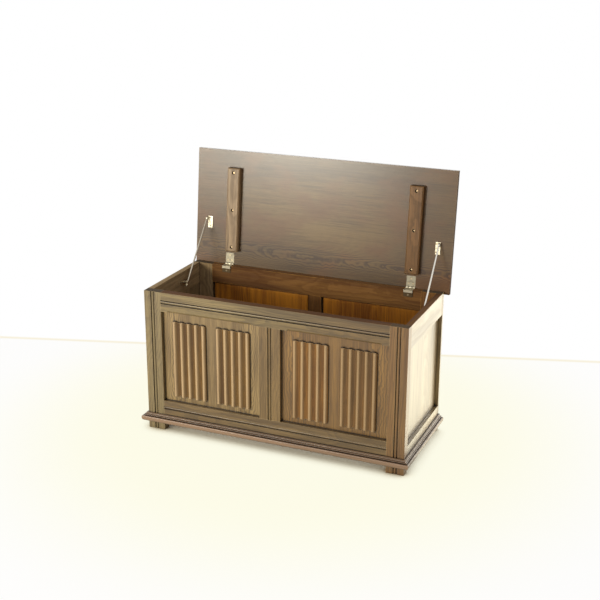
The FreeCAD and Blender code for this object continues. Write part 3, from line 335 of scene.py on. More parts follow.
# %% Oak figure
FIBRES = (9, 330, 2.0)
PORE_DASHES = (26, 1100, 1.0)
STREAKS = (2.2, 55, 3.0)
CLOUD_LENGTH = 2.5        # clouds to a metre along the grain, and across it
CLOUD_WIDTH = 7
CLOUD_DETAIL = 1.5
FIBRE_CONTRAST = 0.8
EARLY_START = (0.0, 0.12)     # the part of a ring over which its early wood comes
EARLY_END = (0.2, 0.75)       # and over which it goes
PORE_EDGE = (0.5, 0.66)       # from where a dash counts as a pore
LATE_PORES = 0.2              # how strongly pores show in the late wood


def oak_figure(finish, board, cut):
    """Three masks of a board: early wood, pores, and light against dark streaks."""
    along, across, depth = board
    shift = chance.uniform(0, FAR)
    in_ring = log_rings(finish, board, cut).fraction()
    early = in_ring.ramp(*EARLY_START) * in_ring.ramp(*EARLY_END, 1.0, 0.0)
    dashes = stretched(finish, board, shift, *PORE_DASHES)
    pores = dashes.ramp(*PORE_EDGE) * (early * (1 - LATE_PORES) + LATE_PORES)
    fibres = stretched(finish, board, shift, *FIBRES) - 0.5
    streaks = stretched(finish, board, shift, *STREAKS) - 0.5
    cloud_place = finish.join(along * CLOUD_LENGTH, across * CLOUD_WIDTH,
                              depth * CLOUD_WIDTH + shift)
    clouds = finish.noise(cloud_place, CLOUD_DETAIL) - 0.5
    tone = streaks * cut["streaks"] + fibres * FIBRE_CONTRAST + clouds * cut["clouds"]
    return early, pores, tone + 0.5


print(round(1000 / PORE_DASHES[1], 2), "mm between two rows of pores")

# %% [markdown]
# ## Wear, dirt, and painted highlight and shade
#
# Dark oak furniture is stained, then waxed, and after years of dusting the arrises are
# rubbed back to paler wood, while wax and dirt stay in the quirks, the narrow grooves
# beside a moulding. Here the paler arrises are also a painted highlight, and the dark in
# the quirks, in corners and between parts is also a painted shade. Both could be painted
# by hand on every piece, but the render engine can find the places by itself: the Bevel
# node sees a convex edge before it is reached, and the Ambient Occlusion node sees how
# closed in a point is. Both work on any shape, so one material serves flat rails and
# carved folds alike. Carved and moulded pieces are rubbed on their crests too, which are
# the parts nearest to the face of the piece, and their paler crests are a painted
# highlight as well.

# %% Wear and shelter
EDGE_SAMPLES = 6          # rays that look for an edge, and for shelter
SHELTER_SAMPLES = 8
QUIRK_REACH = 9 * MM      # how far a point looks round to tell if it lies in a quirk
ARRIS_EDGE = (0.01, 0.16)     # lean of the rounded edge from the face, as 1 - cosine
CREST_PATCHES = (0.0, 0.6, 0.5, 1.0)      # dark streaks are rubbed half as much


def arris_mask(finish, width):
    """1 on an arris, 0 on a flat face."""
    rounded = finish.add("ShaderNodeBevel", {"samples": EDGE_SAMPLES}, {"Radius": width})
    straight = finish.add("ShaderNodeNewGeometry", out="Normal")
    level = finish.vector("DOT_PRODUCT", rounded, straight, out="Value")
    return (1 - level).ramp(*ARRIS_EDGE)


def shelter(finish, reach):
    """1 deep in a corner or a groove, 0 in the open."""
    seen = finish.add("ShaderNodeAmbientOcclusion", {"samples": SHELTER_SAMPLES},
                      {"Distance": reach}, out="AO")
    return 1 - seen


def rubbed_and_lit_places(finish, node, wide, depth, tone, stain):
    """1 where dusting took the stain off, and where a highlight is painted."""
    rubbed_and_lit = arris_mask(finish, stain["arris"]) * stain["wear_and_highlight"] * tone.ramp(*stain["patchy"])
    if "crest" in stain:
        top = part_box(node)[0][wide] - middle_of(node, False)[wide]
        proud = depth.ramp(top + stain["crest"], top)
        rubbed_and_lit = rubbed_and_lit.highest(proud * tone.ramp(*CREST_PATCHES) * stain["wear_and_highlight"])
    return rubbed_and_lit


print("quirks are felt over", round(QUIRK_REACH / MM), "mm")

# %% [markdown]
# ## The stained colour
#
# A stain is a dictionary. Its dark and light colours are those of the streaks. Two kinds of
# stain say more: the lid's faded in the middle and blushed red in patches, and that of the
# long rails grows darker towards the right end, a painted shade. The faces that look into
# the chest never got the dark stain, so they have colours of their own, and they are as
# dull as the end grain.
# They could be picked face by face and given a second material, but a face's own direction
# already tells which way it looks, so one material covers the board.

# %% Body colour
FADE_LENGTH = 0.44        # half length and half width of the pale middle of the lid
FADE_WIDTH = 0.19
FADE_STRENGTH = 0.75
FADE_STREAKS = (0.1, 0.7)     # the dark streaks fade least
BLUSH_LENGTH = 4.5        # red patches to a metre along the grain, and across it
BLUSH_WIDTH = 8
BLUSH_DETAIL = (3.0, 0.6)     # detail of the patches, and how rough it is
BLUSH_EDGE = (0.42, 0.66)
BLUSH_STRENGTH = 0.7
# The long rails are painted darker towards the right end, a painted shade.
FAR_START = -0.12         # where a rail's colour starts to drift, and where it has drifted
FAR_END = 0.38
INWARD = (0.4, 0.6)       # from where a face counts as looking inwards, or upwards
UPWARD = (0.6, 0.8)
CHEST_MIDDLE = [(a + b) / 2 for a, b in zip(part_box("front_left_post")[0],
                                            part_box("rear_right_post")[1])]
INSIDE_X = -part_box("left_top_rail")[1].x      # the inner face of the side rails
INSIDE_EDGE = (2 * MM, 4 * MM)      # how far past it the inner colour ends


def stained_body(finish, board, tone, light, stain):
    """The colour of the stained wood, before its rings and pores."""
    along, across, depth = board
    body = finish.mix(light, stain["dark"], stain["light"])
    if "faded" in stain:
        off_centre = (along / FADE_LENGTH) ** 2 + (across / FADE_WIDTH) ** 2
        fade = off_centre.ramp(0.0, 1.0, FADE_STRENGTH, 0.0) * tone.ramp(*FADE_STREAKS)
        body = finish.mix(fade, body, stain["faded"])
    if "blush" in stain:
        place = finish.join(along * BLUSH_LENGTH, across * BLUSH_WIDTH, depth * BLUSH_WIDTH)
        patches = finish.noise(place, *BLUSH_DETAIL).ramp(*BLUSH_EDGE)
        body = finish.mix(patches * BLUSH_STRENGTH, body, stain["blush"])
    # Painted shade: the far end of a long rail is darker.
    if "far_shade_dark" in stain:
        far = finish.mix(light, stain["far_shade_dark"], stain["far_shade_light"])
        body = finish.mix(along.ramp(FAR_START, FAR_END), body, far)
    return body


def inner_faces(finish, node, wide, top, normal):
    """1 on the faces that look into the chest and, where top is set, on the upper ones."""
    toward = 1.0 if middle_of(node, False)[wide] < CHEST_MIDDLE[wide] else -1.0
    inward = (normal[wide] * toward).ramp(*INWARD)
    if top:
        return inward.highest(normal[Z].ramp(*UPWARD))
    across = finish.split(finish.add("ShaderNodeTexCoord", out="Object"))[X]
    start, end = (INSIDE_X + past for past in INSIDE_EDGE)
    return inward * abs(across).ramp(start, end, 1.0, 0.0)


print("middle of the chest", [round(v, 3) for v in CHEST_MIDDLE], "inside to x", INSIDE_X)

# %% [markdown]
# ## One finish for every board
#
# The layers go on in the order in which they came to be: the stained wood, its rings and
# pores, the end grain, which drinks the most stain, then wear with a painted highlight, then
# dirt with a painted shade. Wax is the shader's coat: it lies on the open faces and is
# missing in the quirks, inside the chest and on the end grain. The pores and the early wood
# are a little hollow, which the bump shows. Every kind of board could be wired by hand, but
# one function that takes a stain and a cut makes them all, which keeps the whole chest of
# one family.

# %% Oak finish
STREAK_RANGE = (0.15, 0.85)   # the streaks between a stain's dark and light colours
SAWN_END = (0.80, 0.95)       # from where a face counts as end grain
END_GRAIN = 0.85          # how much of the pores' colour the end grain takes
PORE_DEPTH = 0.4 * MM
STREAK_RELIEF = 0.25      # how high the streaks stand, and how deep pores and rings lie
PORE_RELIEF = 0.8
RING_RELIEF = 0.35
STREAK_GLOSS = -0.16      # roughness that light streaks, early wood and bare faces add
RING_DULLNESS = 0.1
BARE_DULLNESS = 0.35
HEART_RANGE = (0.8, 1.3)  # the distance to the log's heart, against the one in the cut


def oak(node, grain, wide, stain, cut, on_lid=False, inner=None, top=False):
    """An oak board's finish. stain gives its colours; inner those of its inward face."""
    finish = Finish("oak_" + node)
    board = board_axes(finish, node, grain, wide, on_lid)
    if "matched" in cut:
        board[1] = abs(board[1])
    early, pores, tone = oak_figure(finish, board, cut)
    light = tone.ramp(*STREAK_RANGE)
    body = stained_body(finish, board, tone, light, stain)
    normal = board_normal(finish, on_lid)
    pore, worn_and_highlight, inward = stain["pore"], stain["worn_and_highlight"], 0.0
    if inner:
        inward = inner_faces(finish, node, wide, top, normal)
        body = finish.mix(inward, body, finish.mix(light, inner["dark"], inner["light"]))
        pore = finish.mix(inward, pore, inner["pore"])
        worn_and_highlight = finish.mix(inward, worn_and_highlight, inner["worn_and_highlight"])
    body = finish.mix(early * stain["ring"], body, pore)
    body = finish.mix(pores * stain["pores"], body, pore)
    sawn_end = abs(normal[grain]).ramp(*SAWN_END)
    body = finish.mix(sawn_end * END_GRAIN, body, stain["pore"])
    # Paler on arrises and crests: rubbed wear, and a painted highlight.
    rubbed_and_lit = rubbed_and_lit_places(finish, node, wide, board[2], tone, stain)
    body = finish.mix(rubbed_and_lit, body, worn_and_highlight)
    # Darker where sheltered, in quirks, corners and between parts: dirt, and painted shade.
    dirt_and_shade = shelter(finish, QUIRK_REACH).ramp(*stain["quirk"])
    body = finish.mix(dirt_and_shade * stain["dirt_and_shade"], body, stain["grime_and_shade"])
    dull = sawn_end.highest(inward)
    height = tone * STREAK_RELIEF - pores * PORE_RELIEF - early * RING_RELIEF
    bump = finish.add("ShaderNodeBump", None,
                      {"Strength": stain["relief"], "Distance": PORE_DEPTH, "Height": height})
    rough = tone * STREAK_GLOSS + early * RING_DULLNESS + stain["gloss"] + dull * BARE_DULLNESS
    finish.set({"Base Color": body, "Normal": bump, "Roughness": rough,
                "Specular IOR Level": stain["shine"], "Coat Roughness": stain["coat_gloss"],
                "Coat Weight": (1 - dirt_and_shade) * stain["coat"] * (1 - dull)})
    finish.cover(node)


def dress(names, grain, wide, stain, cut, **options):
    """Gives each named piece an oak finish of its own, from its own part of the log."""
    for name in names:
        sawn = {**cut, "heart": cut["heart"] * chance.uniform(*HEART_RANGE),
                "drift": cut["drift"] + chance.uniform(-cut["spread"], cut["spread"])}
        oak(name, grain, wide, stain, sawn, **options)


print("pores are up to", PORE_DEPTH / MM, "mm deep")

# %% [markdown]
# ## The stains
#
# One dark stain went over the whole chest, but it took differently everywhere: grey-brown
# on the frame, warmer on the carved folds, red-brown on the plinth and the battens, and
# thin and amber inside, where it was never rubbed in. The frame's stain is the pattern for
# the others. Its ring, pores, wear and dirt say how strongly each of these shows, from 0
# to 1; its wear is also a painted highlight and its dirt also a painted shade, as are its
# worn and grime colours. Its quirk is the range of shelter over which dirt and painted shade
# gather, its arris the width of a rubbed edge, its crest the depth to which a carving is
# rubbed, and its patchy the range of streaks over which the rubbing comes and goes. An inner
# stain has only the four colours in which it differs, and the inside of the left end, which
# is painted paler and greyer than the rest for the light that reaches it, has one of its
# own. Each stain could be listed in full, but most are written as another one with a few
# changes, because that shows at a glance what sets them apart.

# %% Frame and inner stains
# worn: rubbed wood and painted highlight; grime: dirt and painted shade.
FRAME_STAIN = {
    "dark": (0.105, 0.066, 0.021), "light": (0.240, 0.172, 0.072),
    "pore": (0.038, 0.021, 0.007), "worn_and_highlight": (0.48, 0.36, 0.20),
    "grime_and_shade": (0.005, 0.002, 0.0005),
    "ring": 0.25, "pores": 0.55, "wear_and_highlight": 0.75, "dirt_and_shade": 0.97,
    "quirk": (0.25, 0.68), "arris": 1.6 * MM, "patchy": (0.2, 0.55),
    "gloss": 0.50, "shine": 0.5, "coat": 0.5, "coat_gloss": 0.3, "relief": 0.35,
}
INNER_STAIN = {"dark": (0.260, 0.084, 0.0037), "light": (0.670, 0.255, 0.0115),
               "pore": (0.070, 0.024, 0.003), "worn_and_highlight": (0.75, 0.38, 0.06)}
INNER_RAIL_STAIN = {**INNER_STAIN,
                    "dark": (0.100, 0.035, 0.003), "light": (0.200, 0.084, 0.009)}
RIM_STAIN = {**INNER_STAIN, "dark": (0.068, 0.022, 0.001), "light": (0.135, 0.050, 0.003),
             "worn_and_highlight": (0.30, 0.15, 0.03)}
# Painted light: the inside of the left end is paler and greyer than the rest.
LIT_LEFT_INNER_STAIN = {"dark": (0.250, 0.165, 0.075), "light": (0.440, 0.310, 0.160),
                "pore": (0.080, 0.048, 0.022), "worn_and_highlight": (0.42, 0.27, 0.13)}
print("the frame's stain has", len(FRAME_STAIN), "settings")

# %% [markdown]
# ## The joined frame
#
# Posts and muntins stand with their grain upright, and rails lie with theirs level, so a
# joint shows as a change of direction. One material for the whole frame would be less work,
# but its grain would run on through the joints, so every piece is cut from another part of
# the log. The muntin took the stain redder. The left post is painted paler and greyer, a
# painted sheen of the light from the left, and the right post darker and redder, a painted
# shade. The long rails are painted darker towards the right, a painted shade as well. The
# upper faces of the top rails, which the lid covers, keep the colour of the inside.

# %% Frame stains
POST_CUT = {**FRAME_CUT, "heart": 0.30, "spread": 0.30, "flutter": 0.0005, "streaks": 0.9}
SIDE_CUT = {**FRAME_CUT, "ring_width": 0.0060}
# Painted sheen: the left post is paler and greyer than the others.
LEFT_POST_SHEEN_STAIN = {**FRAME_STAIN, "ring": 0.15,
                   "dark": (0.113, 0.074, 0.026), "light": (0.259, 0.194, 0.089)}
MUNTIN_STAIN = {**FRAME_STAIN, "ring": 0.15,
                "dark": (0.104, 0.056, 0.014), "light": (0.238, 0.146, 0.049)}
# Painted shade: the right post is darker and redder.
SHADED_RIGHT_POST_STAIN = {**FRAME_STAIN, "ring": 0.15,
                   "dark": (0.130, 0.057, 0.012), "light": (0.260, 0.138, 0.038)}
# Its two far colours paint the long rails darker towards the right: painted shade.
RAIL_STAIN = {**FRAME_STAIN, "quirk": (0.16, 0.46),
              "dark": (0.112, 0.071, 0.022), "light": (0.255, 0.184, 0.073),
              "far_shade_dark": (0.080, 0.043, 0.011), "far_shade_light": (0.186, 0.114, 0.040)}
SILL_STAIN = {**RAIL_STAIN, "dark": (0.089, 0.048, 0.013), "light": (0.202, 0.126, 0.046)}
SIDE_STAIN = {**FRAME_STAIN, "ring": 0.10, "relief": 0.06, "coat": 0.9, "gloss": 0.55}
print("six stains for the frame")

# %% Posts and muntins
dress(["front_left_post"], Z, Y, LEFT_POST_SHEEN_STAIN, POST_CUT, inner=INNER_RAIL_STAIN)
dress(["front_right_post"], Z, Y, SHADED_RIGHT_POST_STAIN, POST_CUT, inner=INNER_RAIL_STAIN)
dress(["front_muntin"], Z, Y, MUNTIN_STAIN, POST_CUT, inner=INNER_RAIL_STAIN)
dress(["rear_right_post", "back_muntin"], Z, Y, FRAME_STAIN, FRAME_CUT,
      inner=INNER_RAIL_STAIN)
dress(["rear_left_post"], Z, Y, FRAME_STAIN, FRAME_CUT, inner=LIT_LEFT_INNER_STAIN)
print("four posts and two muntins")

# %% Rails
dress(["front_bottom_rail", "back_bottom_rail"], X, Y, SILL_STAIN, FRAME_CUT,
      inner=INNER_RAIL_STAIN)
dress(["back_top_rail"], X, Y, RAIL_STAIN, FRAME_CUT, inner=INNER_RAIL_STAIN, top=True)
dress(["front_top_rail"], X, Y, RAIL_STAIN, FRAME_CUT, inner=RIM_STAIN, top=True)
dress(["left_bottom_rail"], Y, X, SIDE_STAIN, SIDE_CUT, inner=LIT_LEFT_INNER_STAIN)
dress(["right_bottom_rail"], Y, X, SIDE_STAIN, SIDE_CUT, inner=INNER_RAIL_STAIN)
dress(["left_top_rail"], Y, X, SIDE_STAIN, SIDE_CUT, inner=LIT_LEFT_INNER_STAIN, top=True)
dress(["right_top_rail"], Y, X, SIDE_STAIN, SIDE_CUT, inner=RIM_STAIN, top=True)
print("eight rails")

# %% [markdown]
# ## The panels
#
# The panels are wide flat-sawn boards, so they show the tall arches of the log, in bold
# wavy lines beside the tablets. A front panel is matched: its two halves mirror each other,
# as when one board is opened like a book. That needs no second board, because the distance
# across the grain can be taken from the middle line to both sides. The back panels are
# plainer boards, cloudy rather than striped, and the side panels are quiet and well waxed.

# %% Panels
PANEL_CUT = {**FRAME_CUT, "heart": 0.050, "drift": -0.145, "spread": 0.005,
             "ring_width": 0.0045, "flutter": 0.0045, "matched": True}
BACK_CUT = {**FRAME_CUT, "heart": 0.05, "spread": 0.06, "ring_width": 0.0048,
            "flutter": 0.0010, "streaks": 0.7, "clouds": 1.3}
PANEL_STAIN = {**FRAME_STAIN, "ring": 0.50, "quirk": (0.12, 0.46),
               "dark": (0.130, 0.060, 0.011), "light": (0.296, 0.158, 0.038)}
# Painted sheen: the left front panel is paler and greyer than the right.
LIT_LEFT_PANEL_STAIN = {**PANEL_STAIN,
                    "dark": (0.178, 0.108, 0.037), "light": (0.402, 0.275, 0.115)}
BACK_PANEL_STAIN = {**PANEL_STAIN, "ring": 0.18, "pores": 0.35}

dress(["front_left_panel"], Z, Y, LIT_LEFT_PANEL_STAIN, PANEL_CUT, inner=INNER_STAIN)
dress(["front_right_panel"], Z, Y, PANEL_STAIN, PANEL_CUT, inner=INNER_STAIN)
dress(["back_left_panel", "back_right_panel"], Z, Y, BACK_PANEL_STAIN, BACK_CUT,
      inner=INNER_STAIN)
dress(["left_panel"], Z, X, SIDE_STAIN, SIDE_CUT, inner=LIT_LEFT_INNER_STAIN)
dress(["right_panel"], Z, X, SIDE_STAIN, SIDE_CUT, inner=INNER_STAIN)
print("six panels")

# %% [markdown]
# ## The linenfold tablets
#
# Linenfold carving stands for cloth hung in folds. The crests are rubbed paler by dusting,
# and their paler colour is also a painted highlight; the hollows between them keep the warm
# stain. Wear on the edges alone would miss the round crests, and a second material on
# picked faces would end in a hard line, so here the wear and the painted highlight follow
# the height of the carving. The two tablets on the right differ from the left ones and from
# each other: the inner one is amber and the outer one is deeper.

# %% Linenfold
FOLD_CUT = {**FRAME_CUT, "heart": 0.11}
# The crests' paler colour is rubbed wear, and a painted highlight.
FOLD_STAIN = {**FRAME_STAIN, "dark": (0.086, 0.036, 0.002), "light": (0.172, 0.084, 0.008),
              "worn_and_highlight": (0.53, 0.380, 0.225), "wear_and_highlight": 0.9, "ring": 0.12, "crest": 8.5 * MM,
              "arris": 2.4 * MM, "patchy": (0.0, 0.35), "quirk": (0.06, 0.36),
              "shine": 0.4, "coat": 0.2}
AMBER_FOLD_STAIN = {**FOLD_STAIN, "wear_and_highlight": 0.8, "worn_and_highlight": (0.49, 0.350, 0.205),
                    "dark": (0.145, 0.058, 0.006), "light": (0.290, 0.130, 0.017)}
DEEP_FOLD_STAIN = {**FOLD_STAIN, "wear_and_highlight": 0.8, "worn_and_highlight": (0.41, 0.28, 0.155),
                   "dark": (0.098, 0.046, 0.008), "light": (0.195, 0.092, 0.019)}
tablets = {
    "linenfold_left_outer": FOLD_STAIN, "linenfold_left_inner": FOLD_STAIN,
    "linenfold_right_outer": DEEP_FOLD_STAIN, "linenfold_right_inner": AMBER_FOLD_STAIN,
}
for tablet, stain in tablets.items():
    dress([tablet], Z, Y, stain, FOLD_CUT)
print(len(tablets), "tablets")

# %% [markdown]
# ## Plinth and bottom
#
# The plinth is a moulding round the foot of the frame, mitred at its corners and stained a
# dark red-brown. Brooms and shoes touch its nose, which is rubbed a little paler along the
# front, and that paler band is also a painted highlight. Its hollows are so narrow that a
# bump or a strong ring would only flicker in them, so its grain is nearly flat and the
# profile does the work. The bottom is a thin plain board on two bearers, with the amber
# wash of the inside.

# %% Plinth and bottom
PLINTH_STAIN = {**FRAME_STAIN, "dark": (0.070, 0.034, 0.013), "light": (0.150, 0.080, 0.034),
                "worn_and_highlight": (0.50, 0.35, 0.22), "wear_and_highlight": 0.8, "ring": 0.04, "pores": 0.1,
                "relief": 0.06, "arris": 2.2 * MM, "patchy": (-0.6, 0.1),
                "quirk": (0.12, 0.52)}
# The paler nose along the front is rubbed wear, and a painted highlight.
FRONT_PLINTH_STAIN = {**PLINTH_STAIN, "crest": 3 * MM, "worn_and_highlight": (0.30, 0.185, 0.118)}
BOTTOM_STAIN = {**FRAME_STAIN, **INNER_STAIN, "wear_and_highlight": 0.2}

dress(["plinth_front"], X, Y, FRONT_PLINTH_STAIN, FRAME_CUT)
dress(["plinth_left", "plinth_right"], Y, X, PLINTH_STAIN, FRAME_CUT)
dress(["bottom_board", "front_bearer", "back_bearer"], X, Z, BOTTOM_STAIN, PANEL_CUT)
print("three plinth strips, one bottom board, two bearers")

# %% [markdown]
# ## Lid and battens
#
# The lid is one wide board with fine rings and a satin wax, pale where its middle has faded
# and red in patches. Much of what is seen on it is reflected light, so its shader is dark
# with a strong coat, and not a paler brown without one: it then changes with the view, as
# polish does. Two battens across the grain keep the lid flat, and the left one is painted
# paler, a painted sheen of the light from the left.

# %% Lid
LID_CUT = {**FRAME_CUT, "heart": 0.05, "drift": -0.15, "spread": 0.0, "ring_width": 0.0032,
           "flutter": 0.0030, "streaks": 0.45, "clouds": 1.1}
LID_STAIN = {**FRAME_STAIN, "dark": (0.055, 0.027, 0.006), "light": (0.142, 0.080, 0.021),
             "faded": (0.270, 0.163, 0.042), "blush": (0.165, 0.064, 0.013),
             "pore": (0.034, 0.012, 0.003), "ring": 0.7, "pores": 0.7, "wear_and_highlight": 0.4,
             "gloss": 0.46, "shine": 0.15, "coat": 0.85, "coat_gloss": 0.25, "relief": 0.2}
# Painted sheen: the left batten is paler than the right.
LIT_LEFT_BATTEN_STAIN = {**FRAME_STAIN, "shine": 0.3, "coat": 0.3,
                     "dark": (0.190, 0.115, 0.052), "light": (0.350, 0.225, 0.115)}
BATTEN_STAIN = {**FRAME_STAIN, "shine": 0.2, "coat": 0.25,
                "dark": (0.100, 0.041, 0.008), "light": (0.200, 0.092, 0.022)}

dress(["lid_board"], X, Z, LID_STAIN, LID_CUT, on_lid=True)
dress(["left_batten"], Y, Z, LIT_LEFT_BATTEN_STAIN, FRAME_CUT, on_lid=True)
dress(["right_batten"], Y, Z, BATTEN_STAIN, FRAME_CUT, on_lid=True)
print("the lid and two battens")

# %% [markdown]
# ## Brass and steel
#
# Old plated brass is dull: its roughness wanders, and brown tarnish lies in blotches and
# round the screws. The leaves on the back rail are bright on the lip that stands above the
# rail; below it they are painted dark with the tarnish colour, a painted shade for the
# shadow there and the dark inside of the chest that they reflect. The rods of the stays
# are drawn steel; the right one is painted brighter than the left, lit and shaded copies of
# one steel. One function makes all eight metals, because they differ in colour and not in
# kind: the same noise spreads the tarnish and roughens the metal under it.

# %% Metals
BLOTCHES = 90.0           # blotches to a metre
BLOTCH_DETAIL = (4.0, 0.6)
BLOTCH_EDGE = (0.45, 0.75)
CORNER_REACH = 4 * MM     # how far a point looks round to tell if it lies in a corner
CORNER_EDGE = (0.3, 0.9)
CORNER_TARNISH = 0.8
# How fully the apron below a rail leaf's lip is painted dark, a painted shade.
APRON_SHADE = 0.92
TARNISH_ROUGHNESS = 0.35
LIP_HEIGHT = 13.5 * MM    # from the top of a rail leaf to the lower edge of its lip


def metal(name, base, tarnish_and_shade, roughness, covered, amount=0.5, apron=None):
    """A dull metal. amount darkens its blotches; below apron it is painted shade."""
    finish = Finish(name)
    place = finish.add("ShaderNodeTexCoord", out="Object")
    scaled = finish.add("ShaderNodeVectorMath", {"operation": "SCALE"},
                        {0: place, "Scale": BLOTCHES})
    stained = finish.noise(scaled, *BLOTCH_DETAIL).ramp(*BLOTCH_EDGE) * amount
    corner = shelter(finish, CORNER_REACH).ramp(*CORNER_EDGE)
    covering = stained.highest(corner * CORNER_TARNISH)
    # Painted shade: below the lip of a rail leaf it is painted dark.
    if apron:
        low = finish.split(place)[Z].ramp(apron - MM, apron, APRON_SHADE, 0.0)
        covering = covering.highest(low)
    finish.set({"Base Color": finish.mix(covering, base, tarnish_and_shade), "Metallic": 1.0,
                "Roughness": stained * TARNISH_ROUGHNESS + roughness})
    finish.cover(*covered)


def both(*parts):
    """The left and the right piece of each part."""
    return [f"{side}_{part}" for part in parts for side in ("left", "right")]


metal("leaf_brass", (0.25, 0.225, 0.170), (0.11, 0.08, 0.05), 0.45,
      both("hinge_lid_leaf", "hinge_pin"))
# Its dark colour is tarnish, and below the lip a painted shade.
metal("rail_leaf_brass", (0.62, 0.56, 0.43), (0.075, 0.042, 0.014), 0.42,
      both("hinge_rail_leaf"), apron=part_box("left_hinge_rail_leaf")[1].z - LIP_HEIGHT)
metal("bracket_brass", (0.66, 0.60, 0.46), (0.25, 0.19, 0.11), 0.40, both("lid_bracket"))
metal("plate_brass", (0.45, 0.37, 0.24), (0.10, 0.06, 0.03), 0.42,
      both("stay_plate", "stay_guide", "stay_collar"))
metal("screw_brass", (0.40, 0.33, 0.22), (0.12, 0.08, 0.04), 0.4,
      ["rail_leaf_screws", "lid_leaf_screws", "stay_plate_screws", "lid_bracket_screws"])
metal("dark_screws", (0.52, 0.38, 0.23), (0.12, 0.07, 0.04), 0.42, ["batten_screws"])
# Painted light: the left rod darker, the right lighter, shaded and lit copies of one steel.
metal("shaded_left_rod_steel", (0.46, 0.40, 0.31), (0.16, 0.12, 0.08), 0.30,
      ["left_stay_rod", "left_eye_pin"], amount=0.3)
metal("lit_right_rod_steel", (0.74, 0.70, 0.62), (0.30, 0.26, 0.20), 0.26,
      ["right_stay_rod", "right_eye_pin"], amount=0.2)
print("eight metals")

# %% [markdown]
# ## The white room
#
# The chest stands on a pale floor against white. A world of strength 1 for every ray would
# make that white, but it would light the oak from all sides and wash out its carving. So the
# world has that strength only for the camera and for reflections. For all other rays it is
# half as strong and a little warm, which fills the shadows and leaves the rest to the lamps.

# %% World
AMBIENT = 0.50
AMBIENT_TINT = (1.0, 0.97, 0.92)
WHITE = (1.0, 1.0, 1.0)
world = bpy.data.worlds.new("studio")
bpy.context.scene.world = world
world.use_nodes = True


def direct_sight(sheet):
    """1 for rays from the camera, from a mirror or through glass, else 0."""
    seen = [sheet.add("ShaderNodeLightPath", out=name)
            for name in ("Is Camera Ray", "Is Glossy Ray", "Is Transmission Ray")]
    return seen[0].highest(seen[1]).highest(seen[2])


sky = Sheet(world.node_tree)
background = world.node_tree.nodes["Background"]
sky.feed(background.inputs["Color"], sky.mix(direct_sight(sky), AMBIENT_TINT, WHITE))
sky.feed(background.inputs["Strength"], direct_sight(sky) * (1 - AMBIENT) + AMBIENT)
print("ambient", AMBIENT)

# %% [markdown]
# ## The floor
#
# The floor is a sheet of cream paper that turns white at the foot of the wall behind the
# chest, where a faint line shows. A sheet that is only lit would turn grey away from the
# lamps, and one that only glows would show no shadow, so this one does both. To the camera
# it glows, so that it stays even. Close to the chest, where the paper is sheltered, the glow
# gives way to the paper itself, which is lit by the lamps. Deep in the narrow gap under the
# plinth its colour is painted a dark brown, a painted shadow, which with the lamps' own
# shadow sets the chest on the ground.

# %% Floor
FLOOR_REACH = 14.0
WALL_START = Vector((-1.597, FRONT_Y + 0.556, 0))     # two points of the foot of the wall
WALL_END = Vector((0.955, FRONT_Y + 1.336, 0))
WALL_EDGE = 12 * MM       # over which the floor turns into the wall
LINE_WIDTH = 22 * MM      # on either side of the foot of the wall
LINE_STRENGTH = 0.8
CREAM_START = 0.6         # metres from the chest's middle, over which the cream fades
CREAM_END = 1.4
BACKDROP = 0.955          # how much of the floor is glow, away from the chest
GAP_REACH = 140 * MM      # how far the paper looks round for the dark gap
GAP_EDGE = (0.66, 0.82)
SHADOW_REACH = 70 * MM    # and for the shadow round it
SHADOW_EDGE = (0.22, 0.84)

corners = [(x * FLOOR_REACH, y * FLOOR_REACH, 0)
           for x, y in ((-1, -1), (1, -1), (1, 1), (-1, 1))]
floor_mesh = bpy.data.meshes.new("floor")
floor_mesh.from_pydata(corners, [], [(0, 1, 2, 3)])
floor = bpy.data.objects.new("floor", floor_mesh)
bpy.context.scene.collection.objects.link(floor)
print("floor", 2 * FLOOR_REACH, "m wide")

# %% Paper
CREAM_GLOW = (1.0, 0.99, 0.83)
LINE_GLOW = (0.93, 0.86, 0.66)
PAPER = (0.88, 0.78, 0.55)
WALL_PAINT = (0.9, 0.9, 0.9)
# The painted shadow's colour, deep in the gap under the chest.
GAP_SHADOW_BROWN = (0.35, 0.23, 0.09)
PAPER_ROUGHNESS = 0.8
paper = Finish("pale_floor")
spot = paper.add("ShaderNodeTexCoord", out="Object")
back = Vector((0, 0, 1)).cross(WALL_END - WALL_START).normalized()
from_wall = paper.vector("SUBTRACT", spot, WALL_START)
behind = paper.vector("DOT_PRODUCT", from_wall, back, out="Value")
wall = behind.ramp(0.0, WALL_EDGE)
line = (1 - abs(behind).ramp(0.0, LINE_WIDTH)) * LINE_STRENGTH
away = paper.add("ShaderNodeVectorMath", {"operation": "LENGTH"}, {0: spot}, out="Value")
cream = away.ramp(CREAM_START, CREAM_END, 1.0, 0.0) * (1 - wall)
tint = paper.mix(cream, WHITE, CREAM_GLOW)
tint = paper.mix(line, tint, LINE_GLOW)
glow = paper.add("ShaderNodeEmission", None, {"Color": tint, "Strength": 1.0})

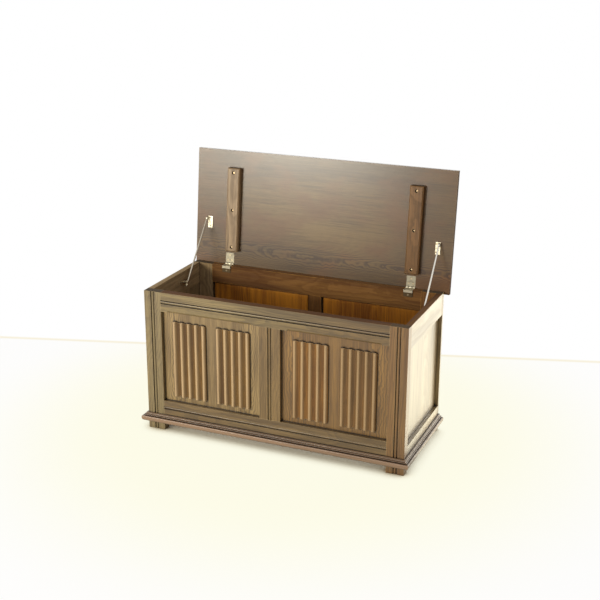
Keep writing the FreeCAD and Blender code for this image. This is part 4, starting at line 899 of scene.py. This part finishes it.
# Painted shadow: where the paper lies deep under the chest its colour turns dark brown.
painted_gap_shadow = shelter(paper, GAP_REACH).ramp(*GAP_EDGE)
ground = paper.mix(wall, PAPER, WALL_PAINT)
paper.set({"Base Color": paper.mix(painted_gap_shadow, ground, GAP_SHADOW_BROWN), "Roughness": PAPER_ROUGHNESS})
shadow = shelter(paper, SHADOW_REACH).ramp(*SHADOW_EDGE).highest(painted_gap_shadow)
glowing = direct_sight(paper) * (1 - shadow) * (wall * (1 - BACKDROP) + BACKDROP)
lit = Wire(paper, paper.shader.outputs[0])
surface = paper.add("ShaderNodeMixShader", None, {0: glowing, 1: lit, 2: glow})
paper.feed(paper.tree.nodes["Material Output"].inputs["Surface"], surface)
floor.data.materials.append(paper.material)
print("the paper glows at", BACKDROP)

# %% [markdown]
# ## The lamps
#
# A wide soft box in front on the left lights the face of the chest, and its reflection
# greys the raised lid. A smaller lamp beside it fills the left. Behind on the right a tall
# lamp glances along the side like a window, and a low one lies on the ground there: it
# stands for the light that a pale floor throws up, and makes the waxed side shine. The
# image of a real room could light the chest as well, but four lamps can be moved one at a
# time, and each has one task. The camera doesn't see the lamps themselves.

# %% Lamps
WARM = (1.0, 0.955, 0.815)
GOLDEN = (1.0, 0.91, 0.68)


def soft_lamp(name, place, aim, width, height, watts, tint):
    """A lamp with a rectangular face that looks at aim."""
    data = bpy.data.lights.new(name, "AREA")
    data.shape = "RECTANGLE"
    data.size = width
    data.size_y = height
    data.energy = watts
    data.color = tint
    lamp = bpy.data.objects.new(name, data)
    lamp.location = place
    lamp.rotation_euler = (Vector(aim) - Vector(place)).to_track_quat("-Z", "Y").to_euler()
    lamp.visible_camera = False
    bpy.context.scene.collection.objects.link(lamp)


# name, place, aim, width, height, watts, colour
soft_lamp("front_soft_box", (-1.80, -4.0, 1.24), (-0.1, 0.1, 0.7), 1.2, 0.6, 92, WARM)
soft_lamp("left_window", (-2.3, -2.5, 1.2), (0, -0.1, 0.35), 0.7, 1.0, 28, WARM)
soft_lamp("side_window", (1.9, 3.3, 1.5), (0.4, 0.0, 0.3), 1.6, 2.0, 60, WARM)
soft_lamp("floor_reflector", (1.07, 1.17, 0.01), (1.07, 1.17, 1.0), 1.06, 2.5, 20, GOLDEN)
print("four lamps")

# %% [markdown]
# ## The colour view
#
# The Standard view shows a colour about as it is written.

# %% Colour view
bpy.context.scene.view_settings.view_transform = "Standard"
